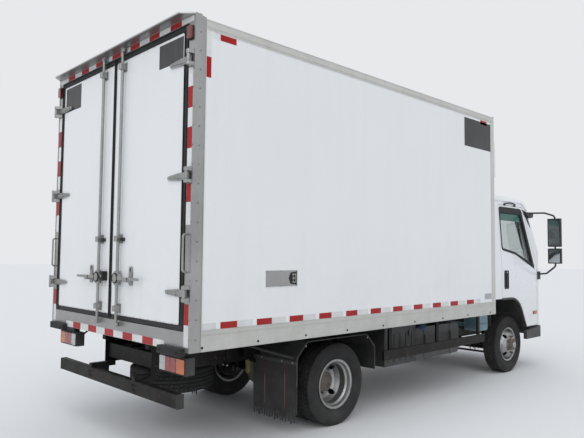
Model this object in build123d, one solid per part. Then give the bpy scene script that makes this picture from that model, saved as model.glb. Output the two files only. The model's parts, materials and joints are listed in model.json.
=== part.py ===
from build123d import *
import os

# Refrigerated truck, in millimetres. x runs across the truck, positive on the driver's side,
# y runs from the front bumper (negative) to the rear doors, and z stands on the ground.
# Places along the truck are given as the distance ahead of the rear face of the box.

# Driving dimensions
overall_length = 6840
visor_depth = 90
rear_overhang = 1843
wheelbase = 3800
body_length = 4660
body_width = 2510
body_bottom = 905
body_top = 3450
floor_top = 1055
wall_thick = 75
cab_width = 2060
cab_back = 5050
cab_nose = 6704
cab_roof = 2530
cab_wall = 55
frame_top = 820
frame_height = 210
frame_width = 850
tyre_radius = 391.5
tyre_width = 225
front_track = 1665
rear_track = 1645
twin_spacing = 254

# Worked out from them
rear_face = overall_length / 2 - visor_depth
half_body = body_width / 2
half_cab = cab_width / 2
rear_axle_at = rear_overhang
front_axle_at = rear_overhang + wheelbase
frame_bottom = frame_top - frame_height
half_frame = frame_width / 2
steer_x = front_track / 2
twin_out = (rear_track + twin_spacing) / 2
twin_in = (rear_track - twin_spacing) / 2
spare_at = 660
spare_z = 488
kingpin_x = 700
kingpin = 16
door_hinge = 6367
door_hinge_x = 1030
door_hinge_heights = (900, 1230)
door_knuckle = 6
cab_pivot = 6600
cab_pivot_z = 660
skin = 14
gap = 5


def along(ahead):
    """y of a place that lies so far ahead of the rear face."""
    return rear_face - ahead


def block(x, ahead, z):
    """Box between pairs of limits; ahead is the pair of distances from the rear face."""
    y = sorted((along(ahead[0]), along(ahead[1])))
    size = (x[1] - x[0], y[1] - y[0], z[1] - z[0])
    return Pos(x[0] + size[0] / 2, y[0] + size[1] / 2, z[0] + size[2] / 2) * Box(*size)


def outline(corners):
    """Closed face from corners (u, v, radius), each rounded by its radius."""
    face = Polygon(*[(u, v) for u, v, r in corners], align=None)
    for radius in sorted({r for u, v, r in corners if r}):
        spots = [(u, v) for u, v, r in corners if r == radius]
        picked = [face.vertices().sort_by_distance((u, v, 0))[0] for u, v in spots]
        face = fillet(picked, radius)
    return face


def side_prism(corners, x):
    """Side view outline of (ahead, z, radius), carried across from x[0] to x[1]."""
    face = outline([(along(ahead), z, r) for ahead, z, r in corners])
    return extrude(Plane.YZ.offset(x[0]) * face, x[1] - x[0], dir=(1, 0, 0))


def end_prism(corners, ahead):
    """End view outline of (x, z, radius), carried along between two distances."""
    y = sorted((along(ahead[0]), along(ahead[1])))
    return extrude(Plane.XZ.offset(-y[0]) * outline(corners), y[1] - y[0], dir=(0, 1, 0))


def plan_prism(corners, z):
    """Plan outline of (x, ahead, radius), carried up from z[0] to z[1]."""
    face = outline([(x, along(ahead), r) for x, ahead, r in corners])
    return extrude(Plane.XY.offset(z[0]) * face, z[1] - z[0], dir=(0, 0, 1))


def rod(start, end, radius):
    """Round bar between two points given as (x, ahead, z)."""
    a = Vector(start[0], along(start[1]), start[2])
    b = Vector(end[0], along(end[1]), end[2])
    plane = Plane(origin=a, z_dir=b - a)
    return extrude(plane * Circle(radius), (b - a).length, dir=b - a)


def pipe(points, bend, radius):
    """Eight-sided bar along straight runs joined by arcs, through points (x, ahead, z)."""
    route = [(x, along(ahead), z) for x, ahead, z in points]
    path = FilletPolyline(*route, radius=bend)
    return sweep(Plane(origin=path @ 0, z_dir=path % 0) * RegularPolygon(radius, 8), path)


def mirrored(shape):
    """The same shape on the other side of the truck."""
    return mirror(shape, about=Plane.YZ)


def both(shape):
    """A shape with its twin on the other side."""
    return Part() + [shape, mirrored(shape)]


def faceted(steps, sides):
    """Solid about the x axis with flat sides, from pairs of x and the distance out to its flats."""
    flats = [
        Plane(origin=(x, 0, 0), z_dir=(1, 0, 0), x_dir=(0, 0, 1))
        * Rot(0, 0, 180 / sides)
        * RegularPolygon(reach, sides, major_radius=False)
        for x, reach in steps
    ]
    return loft(flats, ruled=True)


def turned(corners, x, ahead, z):
    """Ring turned about an axle across the truck, from corners (x, radius, fillet)."""
    face = outline(corners)
    ring = revolve(face, Axis.X)
    return Pos(x, along(ahead), z) * ring


# Insulated box

rail_top = 1064
moulding_bottom = 3357
wall_top = 3365
roof_skin = 3440
lip = 4
floor_thick = 100
front_wall_face = 4585
rail_back = 1225
portal_depth = 100
ring_depth = 34
wall_out = half_body - lip
wall_in = wall_out - wall_thick
post_in = 1171
header_bottom = 3400
hinge_x = 1230
hinge_behind = 45
hinge_heights = (1340, 2220, 3110)
leaf_side, leaf_seam, leaf_bottom, leaf_head = 1108, 24, 1100, 3341
leaf_thick = 88
rod_x = 178
keeper_heights = (1025, 3420)


def body_subframe():
    sills = both(block((half_frame - 60, half_frame), (150, 4600), (frame_top, body_bottom)))
    span, low = (-1215, 1215), (body_bottom, floor_top - floor_thick)
    bearers = [block(span, (a, a + 60), low) for a in range(120, 4600, 440)]
    return sills + bearers


def body_floor():
    return block((-wall_in, wall_in), (portal_depth, front_wall_face), (floor_top - floor_thick, floor_top))


def side_walls():
    run = (portal_depth, body_length - ring_depth)
    panel = block((wall_in, wall_out), run, (floor_top, wall_top))
    panel += block((wall_in, rail_back), run, (floor_top - floor_thick, floor_top))
    plate = block((wall_out, wall_out + lip), (728, 1098), (1364, 1506))
    return both(panel + plate)


def front_wall():
    depth = (front_wall_face, body_length - ring_depth)
    panel = block((-wall_in, wall_in), depth, (floor_top - floor_thick, wall_top))
    face = block((-1195, 1195), (body_length - ring_depth, body_length - 6), (965, 3390))
    return panel + face


def body_roof():
    return block((-1221, 1221), (portal_depth, body_length - ring_depth), (wall_top, roof_skin))


def body_rails():
    run = (portal_depth, body_length - ring_depth)
    lower = block((rail_back, half_body), run, (body_bottom, floor_top))
    lower += block((wall_out, half_body), run, (floor_top, rail_top))
    upper = end_prism(
        [
            (wall_out, moulding_bottom, 0),
            (half_body, moulding_bottom, 0),
            (half_body, body_top, 34),
            (1190, body_top, 0),
            (1190, roof_skin, 0),
            (1221, roof_skin, 0),
            (1221, wall_top, 0),
            (wall_out, wall_top, 0),
        ],
        run,
    )
    ring = block((-half_body, half_body), (body_length - ring_depth, body_length), (body_bottom, body_top))
    ring -= block((-1195, 1195), (4500, 4700), (965, 3390))
    corners = ring.edges().filter_by(Axis.Z).sort_by(Axis.Y)[:4].sort_by(Axis.X)
    ring = fillet([corners[0], corners[-1]], 28)
    return ring + both(lower) + both(upper)


def rear_frame():
    post = block((post_in, wall_out), (0, portal_depth), (body_bottom, body_top))
    post += block((wall_out, half_body), (0, 76), (body_bottom, body_top))
    post += block((1237, half_body), (-3, 0), (body_bottom, body_top))
    header = block((-post_in, post_in), (0, portal_depth), (header_bottom, body_top))
    sill = block((-post_in, post_in), (0, portal_depth), (body_bottom, floor_top))
    visor = plan_prism(
        [(-half_body, 60, 0), (half_body, 60, 0), (half_body, 0, 0), (1165, -visor_depth, 0),
         (-1165, -visor_depth, 0), (-half_body, 0, 0)],
        (body_top, body_top + 12),
    )
    frame = both(post) + header + sill + visor
    for z in keeper_heights:
        frame += both(block((rod_x - 28, rod_x + 28), (-14, 0), (z - 16, z + 16)))
    for z in hinge_heights:
        frame += both(hinge_bracket(z))
    frame += both(block((880, 1190), (-45, 0), (body_bottom - 30, body_bottom + 28)))
    handle = pipe([(1205, 0, 1500), (1205, -42, 1500), (1205, -42, 1780), (1205, 0, 1780)], 20, 9)
    return frame + both(handle)


def hinge_bracket(z):
    """Two lugs on the post, above and below the strap, with the hinge pin."""
    lugs = Part()
    for low, high in ((z - 58, z - 32), (z + 32, z + 58)):
        lugs += plan_prism(
            [(hinge_x - 48, 0, 0), (hinge_x + 18, 0, 0), (hinge_x + 16, -hinge_behind - 14, 12),
             (hinge_x - 16, -hinge_behind - 14, 12)],
            (low, high),
        )
    return lugs + rod((hinge_x, -hinge_behind, z - 62), (hinge_x, -hinge_behind, z + 62), 8)


def leaf(side):
    panel = block((leaf_seam, leaf_side), (0, leaf_thick), (leaf_bottom, leaf_head))
    return panel if side > 0 else mirrored(panel)


def leaf_seal(side):
    outer = block((4, post_in - gap), (2, 26), (floor_top + gap, header_bottom - gap))
    ring = outer - block((leaf_seam, leaf_side), (-10, 40), (leaf_bottom, leaf_head))
    return ring if side > 0 else mirrored(ring)


def hinge_strap(z):
    """Tapered strap on the leaf, carried out over the seal to its knuckle."""
    blade = end_prism(
        [(924, z - 14, 10), (924, z + 14, 10), (1090, z + 28, 0), (hinge_x - 8, z + 28, 0),
         (hinge_x - 8, z - 28, 0), (1090, z - 28, 0)],
        (-14, -8),
    )
    pad = block((930, leaf_side), (-8, 0), (z - 12, z + 12))
    web = block((hinge_x - 20, hinge_x - 8), (-hinge_behind, -8), (z - 28, z + 28))
    knuckle = rod((hinge_x, -hinge_behind, z - 28), (hinge_x, -hinge_behind, z + 28), 14)
    bore = rod((hinge_x, -hinge_behind, z - 40), (hinge_x, -hinge_behind, z + 40), 8.4)
    return blade + pad + (web + knuckle - bore)


def lock_rod():
    """Upright lock rod with its end cams and the guides that hold it to the leaf."""
    bottom, top = keeper_heights
    made = rod((rod_x, -31, bottom - 22), (rod_x, -31, top + 18), 13.5)
    for z in (1160, 1760, 3275):
        made += block((rod_x - 30, rod_x + 30), (-6, 0), (z - 40, z + 40))
        made += block((rod_x - 19, rod_x + 19), (-48, -6), (z - 26, z + 26))
    for z in keeper_heights:
        made += plan_prism(
            [(rod_x - 18, -14, 0), (rod_x + 26, -20, 6), (rod_x + 34, -34, 6), (rod_x + 16, -47, 8),
             (rod_x - 18, -47, 8)],
            (z - 12, z + 12),
        )
    return made


def handle():
    """Flat handle on a hub that clamps the rod, and the catch that it drops into."""
    z, tip, catch = 1420, 580, 370
    made = block((rod_x - 24, rod_x + 24), (-56, -8), (z - 36, z + 36))
    made += end_prism(
        [(rod_x, z - 20, 0), (rod_x, z + 20, 0), (catch - 60, z + 11, 0), (tip - 12, z + 11, 10), (tip, z, 0),
         (tip - 12, z - 11, 10), (catch - 60, z - 11, 0)],
        (-56, -45),
    )
    made += block((catch - 32, catch + 32), (-6, 0), (z - 55, z + 55))
    made += block((catch - 25, catch + 25), (-64, -6), (z - 28, z - 14))
    made += block((catch - 25, catch + 25), (-64, -58), (z - 14, z + 8))
    return made


def leaf_gear(side):
    """Lock rod, handle and catch, and the three hinge straps."""
    gear = lock_rod() + handle() + [hinge_strap(z) for z in hinge_heights]
    return gear if side > 0 else mirrored(gear)


def unit_form(inset):
    """Outer form of the cooling unit, drawn in by the same amount."""
    t = inset
    nose = side_prism(
        [
            (body_length, 2740 + t, 0),
            (5270 - t, 2740 + t, 60),
            (5290 - t, 2900, 120),
            (5150 - t, 3290 - t, 120),
            (body_length, 3320 - t, 0),
        ],
        (t - 990, 990 - t),
    )
    ends = plan_prism(
        [(-990, body_length, 0), (990, body_length, 0), (990, 5290, 130), (-990, 5290, 130)],
        (2700, 3400),
    )
    return nose & ends


def condenser():
    """Cooling unit on the front wall, with a louvred intake on each half of its nose."""
    skin_depth, slat_depth, slat_height, slat_pitch = 34, 5, 14, 44
    low, high = 2850, 3200
    form = unit_form(0)
    core = unit_form(skin_depth)
    intake = both(end_prism([(70, low, 40), (860, low, 40), (820, high, 40), (70, high, 40)], (5000, 5400)))
    rows = range(low + 30, high - 20, slat_pitch)
    slats = [block((60, 870), (5000, 5400), (z, z + slat_height)) for z in rows]
    return form - (intake & (form - core)) + both((Part() + slats) & (unit_form(slat_depth) - core))


def evaporator():
    """Slim cooler under the roof with three fans below and an outlet slot towards the doors."""
    back, front, low, high = 4160, 4585, 3130, wall_top
    fan_radius, fan_at, blades = 98, 4450, 5
    case = side_prism(
        [(front, high, 0), (front, low, 0), (4300, low, 40), (back, 3240, 40), (back, high, 0)],
        (-620, 620),
    )
    case -= block((-560, 560), (back - 10, back + 40), (3268, 3345))
    case += [block((x - 4, x + 4), (back + 4, back + 50), (3260, 3350)) for x in range(-480, 481, 120)]
    for x in (-400, 0, 400):
        case -= rod((x, fan_at, low - 10), (x, fan_at, low + 60), fan_radius)
        case += rod((x, fan_at, low + 8), (x, fan_at, low + 70), 28)
        for turn in range(blades):
            blade = Rot(0, 0, 360 / blades * turn) * Pos(58, 0, 0) * Rot(28, 0, 0) * Box(70, 34, 3)
            case += Pos(x, along(fan_at), low + 34) * blade
    return case


# Chassis


def channel(ahead, low, high):
    """Pressed crossmember between the side members."""
    x = (6 - half_frame, half_frame - 6)
    flange = (ahead, ahead + 60)
    web = block(x, (ahead, ahead + 6), (low, high))
    return web + block(x, flange, (low, low + 6)) + block(x, flange, (high - 6, high))


def chassis_frame():
    """Ladder frame with the pivot tube and the rear hoop that carry the cab."""
    inner = half_frame - 60
    rear, front = 180, 6560
    rail = block((half_frame - 6, half_frame), (rear, front), (frame_bottom, frame_top))
    rail += block((inner, half_frame), (rear, front), (frame_bottom, frame_bottom + 6))
    rail += block((inner, half_frame), (rear, front), (frame_top - 6, frame_top))
    rail += [block((half_frame, half_frame + 8), (a, a + 90), (frame_top - 110, frame_top + 60))
             for a in (420, 2620, 3560, 4450)]
    bracket = (front - 80, cab_pivot + 18)
    rail += block((half_frame - 6, half_frame + 10), bracket, (cab_pivot_z - 24, cab_pivot_z + 24))
    frame = both(rail)
    for ahead in (210, 1100, 2300, 3300, 4300, 6440):
        frame += channel(ahead, frame_bottom + 40, frame_top - 40)
    frame += rod((-597, cab_pivot, cab_pivot_z), (597, cab_pivot, cab_pivot_z), 26)
    hoop = (5070, 5110)
    frame += block((-560, 560), hoop, (985, 1030)) + both(block((inner, half_frame), hoop, (frame_top, 985)))
    return frame


def shock(x, ahead, low, lean):
    """Shock absorber from the axle up to the side member; lean moves its top along the truck."""
    top = frame_top - 90
    face = half_frame if x > half_frame else half_frame - 6
    made = rod((x, ahead + lean / 2, (low + top) / 2), (x, ahead + lean, top), 34)
    made += rod((x, ahead, low), (x, ahead + lean, top), 20)
    return made + rod((face, ahead + lean, top), (x, ahead + lean, top), 14)


def front_axle():
    beam = block((-560, 560), (front_axle_at - 45, front_axle_at + 45), (290, 304))
    beam += block((-560, 560), (front_axle_at - 45, front_axle_at + 45), (346, 360))
    beam += block((-560, 560), (front_axle_at - 8, front_axle_at + 8), (290, 360))
    ends = both(
        end_prism(
            [(540, 290, 0), (kingpin_x - 70, 332, 0), (kingpin_x, 332, 0), (kingpin_x, 440, 0),
             (kingpin_x - 35, 440, 0), (540, 360, 0)],
            (front_axle_at - 34, front_axle_at + 34),
        )
        + rod((kingpin_x, front_axle_at, 332), (kingpin_x, front_axle_at, 440), 36)
        - rod((kingpin_x, front_axle_at, 300), (kingpin_x, front_axle_at, 480), kingpin + 0.4)
    )
    return beam + ends + both(shock(half_frame + 50, front_axle_at + 60, 370, 130) + block(
        (half_frame + 25, half_frame + 75), (front_axle_at, front_axle_at + 85), (350, 372)))


def rear_axle():
    """Axle tube with the differential, its nose, spring pads, brake back plates and shock absorbers."""
    z = tyre_radius
    tube = rod((-560, rear_axle_at, z), (560, rear_axle_at, z), 62)
    banjo = [(-95, 0, 0), (-95, 120, 0), (-55, 175, 0), (55, 175, 0), (95, 120, 0), (95, 0, 0)]
    bulge = turned(banjo, 0, rear_axle_at, z)
    nose = rod((0, rear_axle_at, z), (0, rear_axle_at + 330, z), 85)
    nose += rod((0, rear_axle_at, z), (0, rear_axle_at + 230, z), 120)
    pads = both(block((half_frame + 8, half_frame + 78), (rear_axle_at - 60, rear_axle_at + 60), (z, 460)))
    plates = both(rod((545, rear_axle_at, z), (560, rear_axle_at, z), 160))
    shock_x = half_frame - 98
    arm = block((shock_x - 25, shock_x + 25), (rear_axle_at - 130, rear_axle_at), (z - 20, z + 20))
    shocks = both(shock(shock_x, rear_axle_at - 110, z, -120))
    return tube + bulge + nose + pads + plates + both(arm) + shocks


def spring_leaf(axle, half, middle, rise, thick, width):
    """One curved leaf, from its lowest point at the axle up to both ends."""
    arcs = []
    for z in (middle, middle + thick):
        ends = [(along(axle + a), z + rise) for a in (half, -half)]
        arcs.append(ThreePointArc(ends[0], (along(axle), z), ends[1]))
    low, high = arcs
    face = make_face([low, Line(low @ 1, high @ 1), high, Line(high @ 0, low @ 0)])
    return extrude(Plane.YZ.offset(-width / 2) * face, width, dir=(1, 0, 0))


def leaf_springs():
    """Packs of leaves with their end eyes, hangers and U-bolts."""
    rows = (
        # x, axle, half length, seat height, leaves, leaf thickness, rise at the ends
        (half_frame - 35, front_axle_at, 620, 360, 5, 11, 150),
        (half_frame + 43, rear_axle_at, 680, 460, 7, 12, 105),
    )
    width = 70
    eye = 24
    springs = Part()
    for x, axle, half, seat, leaves, thick, rise in rows:
        pack = Part()
        for n in range(leaves):
            share = 1 - 0.13 * (leaves - 1 - n)
            pack += spring_leaf(axle, half * share, seat + thick * n, rise * share ** 2, thick, width)
        top = seat + thick * leaves
        end_z = seat + thick * (leaves - 1) + rise + eye
        for a in (axle - half, axle + half):
            pack += rod((-width / 2, a, end_z), (width / 2, a, end_z), eye)
            for low, high in ((-width / 2 - 8, -width / 2), (width / 2, width / 2 + 8)):
                pack += side_prism(
                    [(a - 34, end_z - 20, 14), (a + 34, end_z - 20, 14), (a + 50, end_z + 80, 0),
                     (a - 50, end_z + 80, 0)],
                    (low, high),
                )
        for a in (axle - 48, axle + 48):
            pack += block((-width / 2 - 7, width / 2 + 7), (a - 8, a + 8), (seat, top + 14))
        pack += block((-width / 2, width / 2), (axle - 60, axle + 60), (top, top + 12))
        springs += both(Pos(x, 0, 0) * pack)
    return springs


def engine_block():
    return block((-300, 300), (5150, 6150), (450, 1150))


def driveline():
    gearbox = side_prism(
        [(5150, 500, 0), (5150, 900, 0), (4750, 840, 40), (4420, 700, 40), (4420, 500, 40), (4800, 480, 0)],
        (-170, 170),
    )
    shaft = rod((0, 4430, 590), (0, 3340, 570), 38)
    joint = rod((0, 3400, 571), (0, 3290, 565), 55)
    rear = rod((0, 3340, 570), (0, rear_axle_at + 350, tyre_radius), 38)
    nose_end = rear_axle_at + 330
    yoke = rod((0, nose_end, tyre_radius), (0, nose_end + 50, tyre_radius), 58)
    rear -= block((-90, 90), (rear_axle_at, nose_end), (300, 500))
    return gearbox + shaft + joint + rear + yoke


def fuel_tank():
    """Tank behind the cab with its two straps, brackets and filler neck."""
    rear, front, low, high = 3340, 4300, 430, 800
    inner, outer = 500, 920
    corners = [(rear, low, 60), (front, low, 60), (front, high, 60), (rear, high, 60)]
    tank = side_prism(corners, (-outer, -inner))
    for a in (rear + 180, front - 220):
        strap = block((-outer - 4, -inner + 4), (a, a + 40), (low - 4, high + 4))
        tank += strap
        tank += block((-inner, -half_frame), (a, a + 40), (700, 760))
    return tank + rod((-outer + 60, rear + 150, high - 20), (-outer - 30, rear + 150, high + 40), 42)


def battery_box():
    """Box of two batteries with a lipped lid, on a bracket from the side member."""
    rear, front, low, high = 2710, 3280, 430, 850
    box = block((-960, -520), (rear, front), (low, high - 60))
    box += block((-968, -512), (rear - 8, front + 8), (high - 60, high))
    ribs = range(rear + 60, front - 40, 110)
    box += [block((-966, -960), (a, a + 14), (low + 40, high - 80)) for a in ribs]
    return box + block((-520, -half_frame), (rear + 120, rear + 420), (640, 700))


def coolant_reservoir():
    """Expansion tank with its cap, on a bracket behind the cab."""
    rear, front, low, high = 4720, 4980, 650, 850
    tank = side_prism([(rear, low, 30), (front, low, 30), (front, high, 30), (rear, high, 30)], (-960, -760))
    tank += rod((-860, 4850, high - 10), (-860, 4850, high + 34), 32)
    return tank + block((-760, -half_frame), (rear + 60, front - 60), (690, 730))


def exhaust():
    """Muffler beside the frame, fed from the engine, with its tail pipe to the driver's side."""
    rear, front, inner, outer = 3900, 4500, 490, 760
    outlet = 4710
    corners = [(front, 440, 80), (front, 640, 80), (rear, 640, 80), (rear, 440, 80)]
    muffler = side_prism(corners, (inner, outer))
    muffler += [block((half_frame, 520), (a, a + 30), (620, 660)) for a in (rear + 100, front - 130)]
    muffler += pipe([(545, front - 20, 540), (545, 4640, 540), (250, 4800, 560), (250, 5150, 560)], 60, 34)
    muffler += pipe([(690, front - 20, 520), (690, outlet, 520), (1010, outlet, 520)], 100, 39)
    return muffler - rod((860, outlet, 520), (1020, outlet, 520), 34)


def spare_tyre():
    return Pos(0, along(spare_at), spare_z) * Rot(0, 90, 0) * tyre_form


def spare_rim():
    """Spare wheel lying on its side under the box, with the bar and cradle that hold it up."""
    made = Pos(0, along(spare_at), spare_z) * Rot(0, 90, 0) * wheel_form()
    reach = half_frame - 61
    plate_z = spare_z - wheel_offset
    made += block((-reach, reach), (spare_at - 30, spare_at + 30), (frame_bottom, frame_bottom + 30))
    made += block((-20, 20), (spare_at - 20, spare_at + 20), (plate_z, frame_bottom + 2))
    return made + rod((0, spare_at, plate_z), (0, spare_at, plate_z + 14), 120)


def bumper_plan(inset):
    """Plan outline of the bumper, drawn in by the wall."""
    t = inset
    half = [
        (half_cab - t, 6010 - t, 0),
        (half_cab - t, 6505 - t, 105),
        (862 - t, 6642 - t, 110),
        (260, 6750 - t, 400),
    ]
    return half + [(-x, a, r) for x, a, r in reversed(half)]


def front_bumper():
    """Deep bumper with a raked end below each door, lamp pockets and an air slot."""
    low, high, wall = 440, 600, 50
    bumper = plan_prism(bumper_plan(0), (low, high)) - plan_prism(bumper_plan(wall), (low - 40, high + 40))
    bumper -= side_prism([(5900, 540, 0), (6420, high, 0), (6420, 700, 0), (5900, 700, 0)], (-1200, 1200))
    bumper -= block((-430, 430), (6720, 6800), (478, 548))
    bumper += [block((-430, 430), (6708, 6742), (z, z + 10)) for z in (494, 522)]
    bumper -= both(rod((700, 6625, 520), (700, 6760, 520), 48))
    stays = block((half_frame - 60, half_frame), (6480, 6560), (500, frame_bottom))
    stays = both(stays + block((half_frame - 60, half_frame), (6480, 6700), (500, 548)))
    return bumper + stays


def underrun_bar():
    bar = block((-1060, 1060), (25, 85), (465, 570))
    arms = both(block((half_frame - 50, half_frame), (25, 200), (520, frame_bottom)))
    stays = both(block((half_frame - 60, half_frame), (180, 260), (frame_bottom - 40, frame_bottom)))
    return bar + arms + stays


def rear_lamps():
    """Lamp boxes with three raised lenses each, under the sill."""
    inner, outer, low, high = 775, 1135, 718, 846
    lamp = block((inner, outer), (52, 130), (low, high))
    lens = (outer - inner - 24) / 3
    for n in range(3):
        x = inner + 6 + n * (lens + 6)
        lamp += block((x, x + lens), (44, 52), (low + 8, high - 8))
    return both(lamp + block((860, 1050), (60, 120), (high, body_bottom - 1)))


def mud_flaps():
    """Flat-topped guard over each pair of twin wheels, with a flap behind and a short one ahead."""
    x = (560, 1065)
    thick = 5
    rear, front, top = 1283, 2404, 838
    made = block(x, (rear, rear + 8), (200, 720)) + block(x, (front - 8, front), (470, 720))
    made += side_prism(
        [
            (rear, 700, 0),
            (rear + 130, top, 0),
            (front - 130, top, 0),
            (front, 700, 0),
            (front - thick - 3, 700, 0),
            (front - 133, top - thick, 0),
            (rear + 133, top - thick, 0),
            (rear + thick + 3, 700, 0),
        ],
        x,
    )
    for a in (rear + 200, front - 230):
        made += block((half_frame, 600), (a, a + 30), (top - 34, top - thick))
    return both(made)


def side_guards():
    """Side rail on posts from the floor bearers, between the axles."""
    rail = block((1105, 1130), (2480, 4580), (550, 650))
    posts = [block((1085, 1105), (a, a + 50), (560, body_bottom)) for a in (2600, 3500, 4450)]
    return both(rail + posts)


# Cab


def cab_body(inset):
    """Cab from its side, end and plan outlines, each drawn in by the same amount."""
    t = inset
    side = side_prism(
        [
            (cab_back + t, 1055 + t, 0),
            (cab_back + t, cab_roof - 30 - t, 110),
            (5950, cab_roof - t, 300),
            (6150 - t * 0.5, 2420 - t, 120),
            (6560 - t, 1480, 200),
            (6700 - t, 900, 300),
            (6690 - t, 620 + t, 0),
            (6000 + t, 620 + t, 0),
            (5760 + t * 0.6, 1055 + t, 180),
        ],
        (-1100, 1100),
    )
    end = end_prism(
        [
            (-half_cab + t, 500, 0),
            (half_cab - t, 500, 0),
            (half_cab - t, 1500, 400),
            (958 - t, cab_roof - t, 120 - t),
            (-958 + t, cab_roof - t, 120 - t),
            (-half_cab + t, 1500, 400),
        ],
        (4900, 6900),
    )
    plan = plan_prism(
        [
            (-half_cab + t, cab_back - 20, 0),
            (half_cab - t, cab_back - 20, 0),
            (half_cab - t, 6500 - t, 170),
            (830 - t, 6610 - t, 170),
            (0, cab_nose - t, 3600),
            (-830 + t, 6610 - t, 170),
            (-half_cab + t, 6500 - t, 170),
        ],
        (500, 2700),
    )
    return side & end & plan


def under_cut(grow):
    """Room below the cab floor for the frame, the engine and the steered wheels."""
    g = grow
    low = block((-600 - g, 600 + g), (4900, 6640 + g), (400, 900 + g))
    hump = block((-400 - g, 400 + g), (4900, 6240 + g), (400, 1230 + g))
    house = Pos(0, along(front_axle_at), tyre_radius) * Cylinder(500 + g, 2 * 975, rotation=(0, 90, 0))
    return low + hump + house


def door_slab(side):
    """Room that the door and its window frame take at the side of the cab."""
    slab = end_prism(
        [(970, 500, 0), (1100, 500, 0), (1100, 2600, 0), (885, 2600, 0), (970, 1500, 0)],
        (4900, 6900),
    )
    return slab if side > 0 else mirrored(slab)


def door_outline(edge, front):
    """Side view of the door, drawn in by edge, and by front at its leading side."""
    e = edge
    return [
        (5268 + e, 1055 - 100, 0),
        (5268 + e, 2370 - e, 61),
        (6040 - front, 2370 - e, 60),
        (6375 - front, 1480, 62),
        (6375 - front, 622 + e, 30),
        (5900 + e, 622 + e, 0),
        (5900 + e, 955 + e, 0),
    ]


def window_outline():
    return [(5320, 1750, 40), (5320, 2315, 50), (5960, 2315, 51), (6240, 1510, 30), (5700, 1690, 200)]


def door_prism(edge, front, side):
    span = (700, 1100) if side > 0 else (-1100, -700)
    return side_prism(door_outline(edge, front), span) & door_slab(side)


def window_prism(side):
    return side_prism(window_outline(), (700, 1100) if side > 0 else (-1100, -700))


def screen_prism():
    return end_prism([(-830, 1500, 60), (830, 1500, 60), (770, 2350, 60), (-770, 2350, 60)], (5900, 6700))


def lamp_prism():
    return both(end_prism([(640, 700, 30), (900, 700, 30), (900, 860, 30), (640, 860, 30)], (6350, 6900)))


def rear_window_prism():
    return end_prism([(-550, 1650, 50), (550, 1650, 50), (550, 2150, 50), (-550, 2150, 50)], (5000, 5200))


outer_cab = cab_body(0)
skin_cab = cab_body(skin)
inner_cab = cab_body(cab_wall)
glass_cab = cab_body(20) - cab_body(25)
raised_cab = cab_body(-12)
panel_prism = end_prism([(-940, 610, 0), (940, 610, 0), (940, 1400, 40), (-940, 1400, 40)], (6350, 6900))
hidden_room = under_cut(0)
floor_room = under_cut(40)


def cab_shell():
    cavity = inner_cab - floor_room
    shell = outer_cab - cavity - hidden_room
    for side in (1, -1):
        shell -= door_prism(0, 0, side) & (outer_cab - skin_cab)
        shell -= door_prism(20, 0, side)
    shell -= screen_prism() + rear_window_prism()
    shell -= panel_prism & (outer_cab - skin_cab)
    cowl = end_prism([(-870, 1408, 20), (870, 1408, 20), (850, 1478, 20), (-850, 1478, 20)], (6300, 6900))
    shell -= cowl & (outer_cab - cab_body(9))
    gutter = side_prism(
        [(5110, 2424, 0), (5110, 2436, 0), (6010, 2436, 60), (6170, 2334, 0), (6162, 2324, 0),
         (6004, 2424, 60)],
        (-1100, 1100),
    )
    knuckles = Part()
    for low in [z + a for z in door_hinge_heights for a in (-58, 31)]:
        outside = door_hinge_x + door_knuckle - 1
        knuckles += block((1012, outside), (door_hinge, door_hinge + 31), (low, low + 27))
        knuckles += rod((door_hinge_x, door_hinge, low), (door_hinge_x, door_hinge, low + 27), door_knuckle)
    shell = max(shell.solids(), key=lambda s: s.volume)
    shell += (gutter & (raised_cab - skin_cab)) + both(knuckles)
    return max(shell.solids(), key=lambda s: s.volume)


def cab_front():
    """Front panel with the grille opening and its slats."""
    grille_low, grille_high, half_grille = 835, 1040, 500
    slat, pitch, set_back = 16, 46, 4
    panel = ((outer_cab - skin_cab) & panel_prism) - lamp_prism() - hidden_room
    panel -= end_prism(
        [(-half_grille, grille_low, 25), (half_grille, grille_low, 25), (half_grille - 50, grille_high, 25),
         (50 - half_grille, grille_high, 25)],
        (6350, 6900),
    )
    rows = range(grille_low + 28, grille_high, pitch)
    bars = Part() + [block((-half_grille, half_grille), (6350, 6900), (z, z + slat)) for z in rows]
    bars += both(block((150, 170), (6350, 6900), (grille_low, grille_high)))
    panel += bars & (cab_body(set_back) - skin_cab)
    return max((panel - hidden_room).solids(), key=lambda s: s.volume)


def cab_glass():
    screen = screen_prism() & glass_cab
    rear = rear_window_prism() & glass_cab
    return screen + rear


def door(side):
    wheel_room = Pos(0, along(front_axle_at), tyre_radius) * Cylinder(500, 2 * 975, rotation=(0, 90, 0))
    outer = door_prism(gap, gap + 3, side) & (outer_cab - skin_cab)
    core = door_prism(20 + 2 * gap, 97, side) & (skin_cab - inner_cab)
    pocket = block((half_cab - 12, half_cab + 10), (5340, 5466), (1192, 1440))
    knuckles, notches = Part(), Part()
    for z in door_hinge_heights:
        knuckles += rod((door_hinge_x, door_hinge, z - 29), (door_hinge_x, door_hinge, z + 29), door_knuckle)
        for low in (z - 61, z + 29):
            notches += block((1005, 1045), (door_hinge - 11, door_hinge + 20), (low, low + 32))
    made = outer + core - window_prism(side) - wheel_room - both(pocket) - both(notches)
    made += knuckles if side > 0 else mirrored(knuckles)
    return max(made.solids(), key=lambda s: s.volume)


def door_glass(side):
    return window_prism(side) & glass_cab


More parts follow.
